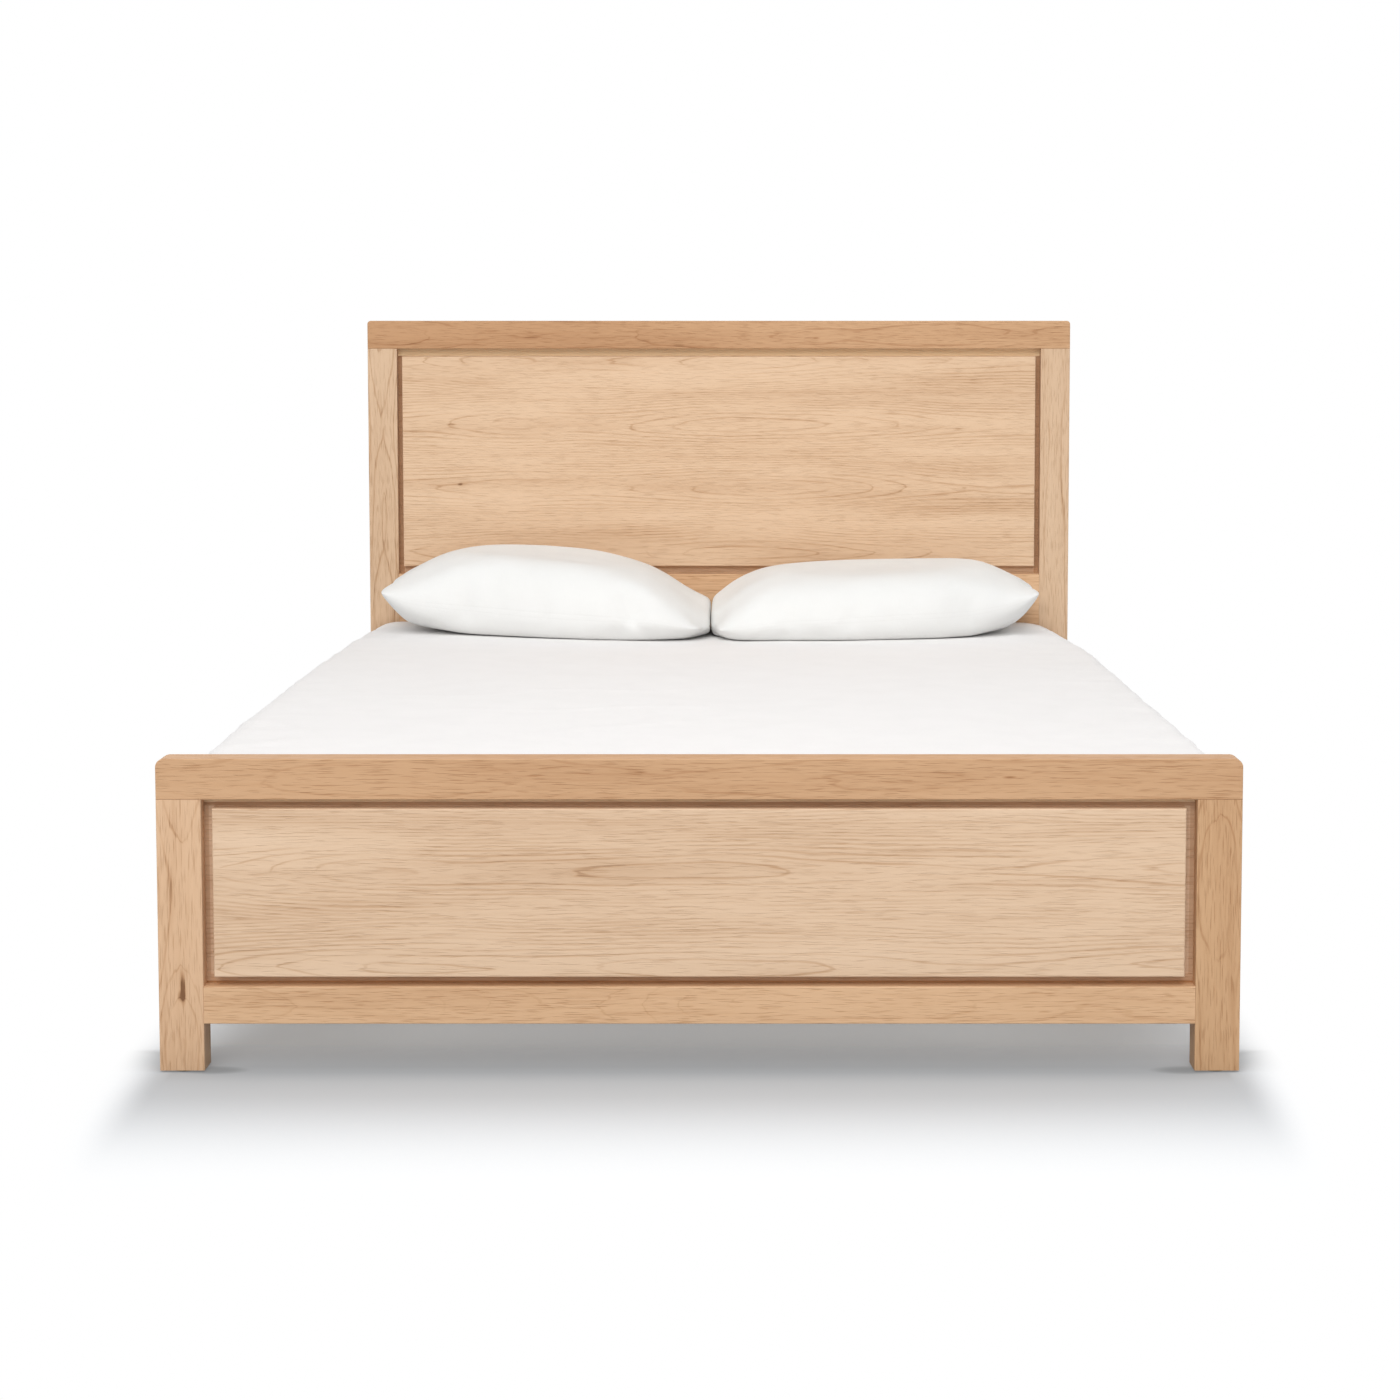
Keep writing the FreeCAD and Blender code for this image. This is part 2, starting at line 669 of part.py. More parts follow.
def levelling_foot(end_name):
    """A foot pad on a threaded stem that turns up and down in a centre leg."""
    end = {"front": "-1", "rear": "1"}[end_name]
    body = new_piece(f"levelling_foot_{end_name}", (0, f"{end} * leg_place", 0))
    pad = pin(body, "pad", ("0", "0", "0"), "+z", "foot_pad_diameter", "foot_pad_height")
    round_over(body, "pad_edge", pad, "foot_pad_round", lies_on("ZMax"))
    hexagon(body, "nut", ("0", "0", "foot_pad_height"), "+z", "foot_nut_across", "foot_nut_height")
    pin(body, "stem", ("0", "0", "foot_pad_height"), "+z", "bolt_diameter", "foot_stem_length")
    return body


# Corner brackets

def corner_bracket(end_name, side_name):
    """A steel angle in the corner where a side rail meets a post."""
    side = SIDES[side_name]
    end = {"foot": "-1", "head": "1"}[end_name]
    body = new_piece(f"corner_bracket_{end_name}_{side_name}", (f"{side} * rail_inner", f"{end} * inner_face", 0))
    middle = "bracket_base + bracket_height / 2"
    block(body, "rail_leg", "z", (f"-{side} * steel / 2", f"-({end}) * bracket_rail_leg / 2", middle),
          ("steel", "bracket_rail_leg", "bracket_height"))
    block(body, "post_leg", "z", (f"-{side} * bracket_post_leg / 2", f"-({end}) * steel / 2", middle),
          ("bracket_post_leg", "steel", "bracket_height"))
    for number, sign in enumerate("-+", start=1):
        height = f"{middle} {sign} (bracket_height / 2 - bracket_hole_edge)"
        drill(body, f"bolt_hole_{number}",
              (f"-{side} * bracket_bolt_place", f"-({end}) * (steel + overrun)", height),
              "-y" if end_name == "foot" else "+y", "bolt_hole", "steel + 2 * overrun")
        drill(body, f"screw_hole_{number}",
              (f"-{side} * (steel + overrun)", f"-({end}) * bracket_screw_place", height),
              "+x" if side_name == "right" else "-x", "screw_hole", "steel + 2 * overrun")
    return body


# Fasteners, each kind in one node

def bracket_bolts():
    body = new_piece("bracket_bolts")
    at = ("rail_inner - bracket_bolt_place", "-(inner_face - steel)", "bracket_base + bracket_hole_edge")
    pin(body, "shank", at, "-y", "bolt_diameter", "bolt_length")
    hexagon(body, "head", at, "+y", "bolt_head_across", "bolt_head_height")
    row_along(body, "upper", None, "z", "bracket_height - 2 * bracket_hole_edge", "2")
    mirror_across(body, "other_side", "x")
    mirror_across(body, "other_end", "y")
    return body


def plate_screw(body, name, at, into, outward):
    """A round-headed screw that holds a steel plate, with its head on the plate."""
    pin(body, f"{name}_shank", at, into, "screw_diameter", "plate_screw_length")
    pin(body, f"{name}_head", at, outward, "screw_head", "plate_screw_head_height")


def bracket_screws():
    body = new_piece("bracket_screws")
    at = ("rail_inner - steel", "-(inner_face - bracket_screw_place)", "bracket_base + bracket_hole_edge")
    plate_screw(body, "lower", at, "+x", "-x")
    row_along(body, "upper", None, "z", "bracket_height - 2 * bracket_hole_edge", "2")
    mirror_across(body, "other_side", "x")
    mirror_across(body, "other_end", "y")
    return body


def hanger_screws():
    body = new_piece("hanger_screws")
    at = ("hanger_screw_place", "-(inner_face - steel)", "low_rail_top - hanger_height + hanger_screw_edge")
    plate_screw(body, "rail", at, "-y", "+y")
    row_along(body, "rail_upper", None, "z", "hanger_height - 2 * hanger_screw_edge", "2")
    at = ("hanger_cheek_place + steel / 2", "-(inner_face - hanger_reach + cheek_screw_edge)",
          "beam_base + cheek_screw_edge")
    plate_screw(body, "cheek", at, "-x", "+x")
    mirror_across(body, "other_side", "x")
    mirror_across(body, "other_end", "y")
    return body


def countersunk_screw(body, at, way, length):
    """A countersunk screw, with its head flush in the wood."""
    taper(body, "head", at, way, "screw_head", "screw_diameter", "(screw_head - screw_diameter) / 2")
    pin(body, "shank", at, way, "screw_diameter", length)


def slat_screws():
    body = new_piece("slat_screws")
    countersunk_screw(body, ("slat_screw_place", "-slat_reach", "slat_level"), "-z", "slat_screw_length")
    row_along(body, "along_the_cleat", None, "y", "2 * slat_reach", "slat_count")
    mirror_across(body, "other_side", "x")
    return body


def cleat_screws():
    body = new_piece("cleat_screws")
    at = ("rail_inner - cleat_width", "-cleat_screw_reach", "cleat_base + cleat_screw_rise")
    countersunk_screw(body, at, "+x", "cleat_screw_length")
    row_along(body, "along_the_rail", None, "y", "2 * cleat_screw_reach", "cleat_screw_count")
    mirror_across(body, "other_side", "x")
    return body


def leg_bolts():
    """The headless bolts that join the centre legs to the beam."""
    body = new_piece("leg_bolts")
    pin(body, "bolt", ("0", "-leg_place", "beam_base - leg_bolt_length / 2"), "+z",
        "bolt_diameter", "leg_bolt_length")
    mirror_across(body, "other_leg", "y")
    return body


def leg_glides():
    body = new_piece("leg_glides")
    middle = ("post_centre", "-(inner_face + board_thickness / 2)", "0")
    pin(body, "disc", middle, "+z", "glide_diameter", "glide_height")
    pin(body, "nail", middle, "+z", "glide_pin_diameter", "glide_height + glide_pin_length")
    mirror_across(body, "other_side", "x")
    mirror_across(body, "other_end", "y")
    return body


# Mattress, quilt and pillows

def mattress():
    body = new_piece("mattress", (0, 0, "slat_level + soft_clear"))
    stock = block(body, "stock", "z", ("0", "0", "mattress_height / 2"),
                  ("mattress_width", "mattress_length", "mattress_height"))
    corners = round_over(body, "corners", stock, "mattress_corner", runs_along("z"))
    round_over(body, "edges", corners, "mattress_edge", lies_on("ZMin", "ZMax"))
    return body


def soft_piece(label, shape):
    feature = doc.addObject("Part::Feature", label)
    feature.Label = label
    feature.Shape = shape
    feature.Placement = Placement()
    parts.append(feature)
    return feature


# Along the quilt: how far past the mattress's foot end each section stands, as shares of
# the mattress's corner and of its length, then how far its tuck is drawn in, as a share of
# the corner, its bulge over the rail, and how far its top falls, as a share of its thickness
QUILT_SHARES = (
    (0.0, 0.0, 0.63, 0.26, 0.60),
    (0.5, 0.0, 0.25, 0.50, 0.15),
    (1.0, 0.0, 0.0, 0.68, 0.0),
    (0.0, 0.10, 0.0, 0.84, 0.0),
    (0.0, 0.45, 0.0, 0.92, 0.0),
    (0.0, 0.75, 0.0, 0.90, 0.0),
    (0.0, 0.90, 0.0, 0.94, 0.0),
)
QUILT_FOOT_SHARES = (0.80, 0.10, 1.40)
SHOULDER_TURN_SHARES = (0.62, 0.20)


def quilt_section(y, tuck, side, top):
    """One cross-section of the quilt's outside, from hem to hem over the mattress."""
    hem = cell("quilt_hem")
    over_rail = cell("rail_base") + cell("rail_height") + cell("quilt_rail_clear")
    shoulder = side - cell("quilt_shoulder_width")
    turn = cell("quilt_shoulder_drop")
    turn_in = cell("quilt_shoulder_width") * SHOULDER_TURN_SHARES[1]
    edges = []
    outline = [(tuck, hem), (tuck, over_rail), (side, cell("quilt_bulge_height")),
               (side - turn_in, top - turn),
               (side - cell("quilt_shoulder_width") / 2, top - turn * (1 - SHOULDER_TURN_SHARES[0])),
               (shoulder, top)]
    right = [Vector(x, y, z) for x, z in outline]
    left = [Vector(-x, y, z) for x, z in outline]
    edges.append(Part.LineSegment(left[0], right[0]).toShape())
    edges.append(Part.LineSegment(right[0], right[1]).toShape())
    edges.append(Part.Arc(right[1], right[2], right[3]).toShape())
    edges.append(Part.Arc(right[3], right[4], right[5]).toShape())
    edges.append(Part.LineSegment(right[5], left[5]).toShape())
    edges.append(Part.Arc(left[5], left[4], left[3]).toShape())
    edges.append(Part.Arc(left[3], left[2], left[1]).toShape())
    edges.append(Part.LineSegment(left[1], left[0]).toShape())
    return Part.Wire(edges)


def quilt():
    """A quilt laid over the mattress, tucked inside the rails and bulging above them."""
    corner = cell("mattress_corner")
    length = cell("mattress_length")
    clear = cell("soft_clear")
    foot_end = -length / 2
    widest_tuck = cell("mattress_width") / 2 + cell("side_gap") - cell("quilt_rail_clear")
    mattress_top = cell("slat_level") + clear + cell("mattress_height")
    top = mattress_top + clear + cell("quilt_thickness")
    stations = [(foot_end - cell("quilt_foot_skirt"), *QUILT_FOOT_SHARES)]
    for corner_share, length_share, draw, bulge, fall in QUILT_SHARES:
        stations.append((foot_end + corner_share * corner + length_share * length, draw, bulge, fall))
    stations.append((length / 2 - cell("quilt_head_gap"), 0.0, 1.0, 0.0))
    sections = []
    for y, draw, bulge, fall in stations:
        tuck = widest_tuck - draw * corner
        side = tuck + bulge * cell("quilt_bulge")
        sections.append(quilt_section(y, tuck, side, top - fall * cell("quilt_thickness")))
    outside = Part.makeLoft(sections, True, True)
    # The room that the mattress takes, open below and past the head end
    room_width = cell("mattress_width") + 2 * clear
    room_length = length + clear + corner + cell("overrun")
    room_base = cell("quilt_hem") - cell("overrun")
    room = Part.makeBox(room_width, room_length, mattress_top + clear - room_base,
                        Vector(-room_width / 2, foot_end - clear, room_base))
    upright = [edge for edge in room.Edges if edge.BoundBox.ZLength > 0.99 * edge.Length]
    room = room.makeFillet(corner + clear, upright)
    return soft_piece("quilt", outside.cut(room))


# Across a pillow: places of its sections, their fullness and their depth
PILLOW_PLACE_SHARES = (-1.0, -0.93, -0.75, -0.42, 0.0, 0.42, 0.75, 0.93, 1.0)
PILLOW_FULL_SHARES = (0.02, 0.30, 0.68, 0.93, 1.0, 0.93, 0.68, 0.30, 0.02)
PILLOW_DEPTH_SHARES = (1.0, 0.985, 0.965, 0.95, 0.945, 0.95, 0.965, 0.985, 1.0)
PILLOW_SEAM_SHARE = 0.45


def pillow(side_name):
    """A pillow laid flat against the headboard: crowned, with its sides drawn in between its corners."""
    side = float(SIDES[side_name])
    width = cell("pillow_width")
    thickness = cell(f"pillow_{side_name}_thickness")
    centre_x = side * (width + cell("pillow_gap")) / 2 - cell("pillow_shift")
    back = cell("mattress_length") / 2 + cell("end_gap") - cell("pillow_back_gap")
    centre_y = back - cell("pillow_depth") / 2
    quilt_top = cell("slat_level") + cell("mattress_height") + cell("quilt_thickness") + 2 * cell("soft_clear")
    seam = quilt_top + cell("soft_clear") + PILLOW_SEAM_SHARE * thickness
    sections = []
    for place_share, full, deep in zip(PILLOW_PLACE_SHARES, PILLOW_FULL_SHARES, PILLOW_DEPTH_SHARES):
        x = centre_x + place_share * width / 2
        half = deep * cell("pillow_depth") / 2
        front = Vector(x, centre_y - half, seam)
        rear = Vector(x, centre_y + half, seam)
        crown = Vector(x, centre_y, seam + full * (1 - PILLOW_SEAM_SHARE) * thickness)
        belly = Vector(x, centre_y, seam - full * PILLOW_SEAM_SHARE * thickness)
        upper = Part.Arc(front, crown, rear).toShape()
        lower = Part.Arc(rear, belly, front).toShape()
        sections.append(Part.Wire([upper, lower]))
    return soft_piece(f"pillow_{side_name}", Part.makeLoft(sections, True, False))


def build():
    for board_name in BOARDS:
        for side_name in SIDES:
            post(board_name, side_name)
        top_rail(board_name)
        panel(board_name)
        low = cross_rail(board_name, f"{board_name}_bottom_rail", "low_rail_base", "low_rail_height",
                         board_name == "footboard")
        drill_hanger_screws(low, board_name)
        dowels(board_name)
    cross_rail("headboard", "headboard_middle_rail", "middle_rail_base", "middle_rail_height", True)
    for side_name in SIDES:
        side_rail(side_name)
        slat_cleat(side_name)
        slat_strap(side_name)
        for end_name in ("foot", "head"):
            corner_bracket(end_name, side_name)
    count = int(cell("slat_count"))
    for number in range(count):
        slat(number, count)
    centre_beam()
    for end_name in ("foot", "head"):
        beam_hanger(end_name)
    for end_name in ("front", "rear"):
        centre_leg(end_name)
        levelling_foot(end_name)
    bracket_bolts()
    bracket_screws()
    hanger_screws()
    slat_screws()
    cleat_screws()
    leg_bolts()
    leg_glides()
    mattress()
    quilt()
    for side_name in SIDES:
        pillow(side_name)
    doc.recompute()


def check():
    """Stops before anything is written if an object failed or a cut removed nothing."""
    for thing in doc.Objects:
        if "Invalid" in thing.State or "Error" in thing.State:
            raise RuntimeError(f"{thing.Name} ({thing.Label}) is {thing.State}")
    for feature in cuts:
        before = feature.BaseFeature.Shape.Volume
        if before - feature.Shape.Volume < 1e-3:
            raise RuntimeError(f"{feature.Name} cuts nothing")
    for piece in parts:
        if piece.Shape.isNull() or not piece.Shape.isValid() or not piece.Shape.Solids:
            raise RuntimeError(f"{piece.Label} has no valid solid")


def write():
    os.makedirs("parts", exist_ok=True)
    for piece in parts:
        piece.Shape.exportStep(f"parts/{piece.Label}.step")
        print(piece.Label, len(piece.Shape.Solids), round(piece.Shape.Volume))


build()
check()
write()
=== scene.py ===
"""An oak panelled bed, finished in its woods, metals and cloths and made up with white bedding.

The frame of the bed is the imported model. The mattress, quilt, pillows and slat tapes are
modelled here in the room that their plain solids hold.
"""

import json
import logging
import math
from dataclasses import dataclass, field
from enum import Enum
from functools import cache
from typing import Callable, Sequence

import bmesh
import bpy
import numpy as np
from bmesh.types import BMEdge, BMesh, BMVert
from bpy.types import Material, Node, NodeSocket, Object, World
from mathutils import Matrix, Vector, noise


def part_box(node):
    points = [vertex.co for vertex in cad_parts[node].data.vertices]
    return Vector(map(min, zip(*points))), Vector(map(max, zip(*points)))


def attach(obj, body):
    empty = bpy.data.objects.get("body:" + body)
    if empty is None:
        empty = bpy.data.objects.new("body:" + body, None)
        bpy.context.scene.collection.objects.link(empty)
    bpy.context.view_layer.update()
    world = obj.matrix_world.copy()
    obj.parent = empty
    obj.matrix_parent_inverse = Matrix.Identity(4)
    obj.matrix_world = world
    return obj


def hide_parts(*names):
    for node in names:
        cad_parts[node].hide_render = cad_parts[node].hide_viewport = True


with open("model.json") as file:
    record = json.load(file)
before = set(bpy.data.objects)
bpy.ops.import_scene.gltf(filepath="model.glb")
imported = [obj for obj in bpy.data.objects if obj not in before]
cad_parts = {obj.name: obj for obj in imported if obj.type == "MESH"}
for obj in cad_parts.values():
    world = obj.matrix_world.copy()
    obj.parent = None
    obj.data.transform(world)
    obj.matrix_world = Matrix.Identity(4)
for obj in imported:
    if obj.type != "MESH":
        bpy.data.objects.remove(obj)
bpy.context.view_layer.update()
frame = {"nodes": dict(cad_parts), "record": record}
LOG = logging.getLogger("bed")

Colour = tuple[float, float, float]
Point = tuple[float, float, float]
Line = tuple[tuple[float, float], ...]
Bands = tuple[tuple[float, float, float], ...]
Sockets = dict[str | int, object]


def linear(red: float, green: float, blue: float) -> Colour:
    """Turns a colour as seen on screen, each channel from 0 to 255, into light from 0 to 1."""
    shares = (red / 255, green / 255, blue / 255)
    return tuple(s / 12.92 if s <= 0.04045 else ((s + 0.055) / 1.055) ** 2.4 for s in shares)


# Node trees


def math_method(operation: str, swapped: bool = False) -> Callable[..., "Field"]:
    """Makes a method that puts a field through a Math node.

    Args:
        operation: The node's operation.
        swapped: Whether the field comes after the other value.

    Returns:
        The method.
    """

    def method(first: "Field", *others: "Input") -> "Field":
        """Adds the node and returns its result."""
        values = (*others, first) if swapped else (first, *others)
        return first.graph.math(operation, *values)

    return method


@dataclass(frozen=True)
class Field:
    """A number or colour that changes over a surface, with arithmetic that adds nodes.

    Attributes:
        graph: The graph that new nodes go into.
        socket: The output that carries the value.
    """

    graph: "Graph"
    socket: NodeSocket

    __add__ = math_method("ADD")
    __sub__ = math_method("SUBTRACT")
    __rsub__ = math_method("SUBTRACT", swapped=True)
    __mul__ = math_method("MULTIPLY")
    __truediv__ = math_method("DIVIDE")
    root = math_method("SQRT")
    part = math_method("FRACT")
    whole = math_method("FLOOR")
    size = math_method("ABSOLUTE")
    wave = math_method("SINE")
    grow = math_method("EXPONENT")
    least = math_method("MINIMUM")
    most = math_method("MAXIMUM")

    def between(self, low: float, high: float) -> "Field":
        """Rises smoothly from 0 at the low value to 1 at the high one."""
        inputs = {"Value": self, "From Min": low, "From Max": high}
        return self.graph.take("MapRange", "Result", inputs, interpolation_type="SMOOTHSTEP")


Input = Field | float
Place = tuple[Input, Input, Input]


class Blend(Enum):
    """How a colour goes over another: it covers it, or darkens it by multiplying, for stains and for
    painted shade.
    """

    COVER = "MIX"
    STAIN = "MULTIPLY"


class Graph:
    """A material's node tree, or the world's, with a method for each kind of node used here."""

    def __init__(self, owner: Material | World) -> None:
        """Starts with an empty tree.

        Args:
            owner: What the tree belongs to.
        """
        owner.use_nodes = True
        self.owner = owner
        self.tree = owner.node_tree
        self.tree.nodes.clear()

    def node(self, kind: str, inputs: Sockets, **settings: object) -> Node:
        """Adds a node.

        Args:
            kind: The node's type, without the word ShaderNode.
            inputs: What each socket is given: a field, another node's output or a plain value.
            settings: The node's own settings by name.

        Returns:
            The node.
        """
        made = self.tree.nodes.new(f"ShaderNode{kind}")
        for name, value in settings.items():
            setattr(made, name, value)
        for name, value in inputs.items():
            source = value.socket if isinstance(value, Field) else value
            if isinstance(source, NodeSocket):
                self.tree.links.new(source, made.inputs[name])
            else:
                made.inputs[name].default_value = source
        return made

    def take(self, kind: str, output: str | int, inputs: Sockets, **settings: object) -> Field:
        """Adds a node as node() does, and returns one of its outputs."""
        return Field(self, self.node(kind, inputs, **settings).outputs[output])

    def math(self, operation: str, *values: Input) -> Field:
        """Adds a Math node for one or two values."""
        return self.take("Math", 0, dict(enumerate(values)), operation=operation)

    def place(self) -> tuple[Field, Field, Field]:
        """Returns the place on the bed along X, Y and Z, in metres."""
        return self._parts(self.node("TexCoord", {}).outputs["Object"])

    def cloth(self) -> tuple[Field, Field, Field]:
        """Returns the place on the flat cloth, in metres, from the piece's own map."""
        return self._parts(self.node("UVMap", {}, uv_map="cloth").outputs["UV"])

    def _parts(self, socket: NodeSocket) -> tuple[Field, Field, Field]:
        """Splits a vector into its three numbers."""
        split = self.node("SeparateXYZ", {0: socket})
        return tuple(Field(self, output) for output in split.outputs)

    def attribute(self, name: str) -> Field:
        """Returns a number that the mesh holds under a name."""
        return self.take("Attribute", "Fac", {}, attribute_name=name)

    def noise(self, place: Place, detail: float = 2, rough: float = 0.5) -> Field:
        """Adds soft noise about zero, one metre to a cell, mostly within a half either way.

        Args:
            place: Where on the surface, stretched as wanted.
            detail: How many finer layers it has.
            rough: How strong the finer layers are.

        Returns:
            The noise.
        """
        join = self.node("CombineXYZ", dict(enumerate(place)))
        inputs = {"Vector": join.outputs[0], "Scale": 1.0, "Detail": detail, "Roughness": rough}
        return (self.take("TexNoise", "Fac", inputs) - 0.5) * 2.0

    def ramp(self, level: Field, stops: Sequence[tuple[float, Colour]]) -> Field:
        """Turns a level from 0 to 1 into a colour.

        Args:
            level: The level.
            stops: Places along it, each with its colour.

        Returns:
            The colour.
        """
        made = self.node("ValToRGB", {0: level})
        bands = made.color_ramp.elements
        while len(bands) < len(stops):
            bands.new(0.5)
        for band, (place, colour) in zip(bands, stops):
            band.position = place
            band.color = (*colour, 1.0)
        return Field(self, made.outputs["Color"])

    def mix(self, share: Field, under: Field, over: Colour, way: Blend = Blend.COVER) -> Field:
        """Lays a share of a colour over another."""
        inputs = {0: share, 6: under, 7: (*over, 1.0)}
        return self.take("Mix", 2, inputs, data_type="RGBA", blend_type=way.value)

    def dress(self, colour: Field, roughness: Field, height: Field, depth: float,
              **settings: float) -> Material:
        """Ends the tree in a surface with colour, roughness and relief.

        Args:
            colour: The colour.
            roughness: The roughness.
            height: The relief, about one unit high.
            depth: How deep one unit is, in metres.
            settings: The shader's own constants, with underscores for spaces.

        Returns:
            The finished material.
        """
        relief = self.node("Bump", {"Distance": depth, "Height": height})
        inputs = {"Base Color": colour, "Roughness": roughness, "Normal": relief.outputs[0]}
        inputs |= {name.replace("_", " "): value for name, value in settings.items()}
        return self.end(self.node("BsdfPrincipled", inputs), "OutputMaterial")

    def end(self, shader: Node, output: str) -> Material | World:
        """Leads a shader to the tree's output and returns what the tree belongs to."""
        self.node(output, {"Surface": shader.outputs[0]})
        return self.owner


# Finishes


class Cut(Enum):
    """Which way a board's grain runs: its length, width and depth as axes."""

    ACROSS = (0, 2, 1)
    UPRIGHT = (2, 0, 1)
    LENGTHWISE = (1, 2, 0)
    SLAT = (0, 1, 2)
    BEAM = (1, 0, 2)


@dataclass(frozen=True)
class Knot:
    """A knot, or a dark streak, on the face of a board.

    Attributes:
        along: Its place along the grain.
        across: Its place across the grain.
        length: Half its length.
        width: Half its width.
        depth: How dark it is, from 0 to 1.
    """

    along: float
    across: float
    length: float
    width: float
    depth: float


@dataclass(frozen=True)
class Spindle:
    """A place where the heart comes near the face, so that rings close round it.

    Attributes:
        along: Its place along the grain.
        reach: Half its length.
        rings: How many rings close.
    """

    along: float
    reach: float
    rings: float


@dataclass(frozen=True)
class GrooveShade:
    """The lowered margin of a panel, where the wood's colour is darkened as painted shade.

    A band is where it starts and ends beside the raised field, and how dark it is.

    Attributes:
        half: Half the width of the raised field.
        low: The height of the field's lower edge.
        high: The height of the field's upper edge.
        sides: Bands beside the field.
        above: Bands above the field.
        below: Bands below the field.
        pale: How far above the field the margin is painted paler, as painted light, and how much.
        step: The width over which the wood changes.
    """

    half: float
    low: float
    high: float
    sides: Bands
    above: Bands
    below: Bands
    pale: tuple[float, float]
    step: float = 0.001

    def painted_shade(self, across: Field, up: Field) -> Field:
        """Gives how dark the margin is painted as shade, from 0 on the field.

        Args:
            across: The place across the bed.
            up: The height.

        Returns:
            The darkness.
        """
        # Painted shade in bands beside, above and below the raised field
        total = across * 0.0
        beside, over, under = across.size() - self.half, up - self.high, self.low - up
        for away, bands in ((beside, self.sides), (over, self.above), (under, self.below)):
            for start, end, dark in bands:
                begun = away.between(start, start + self.step)
                total = total.most(begun * (1.0 - away.between(end, end + self.step)) * dark)
        return total


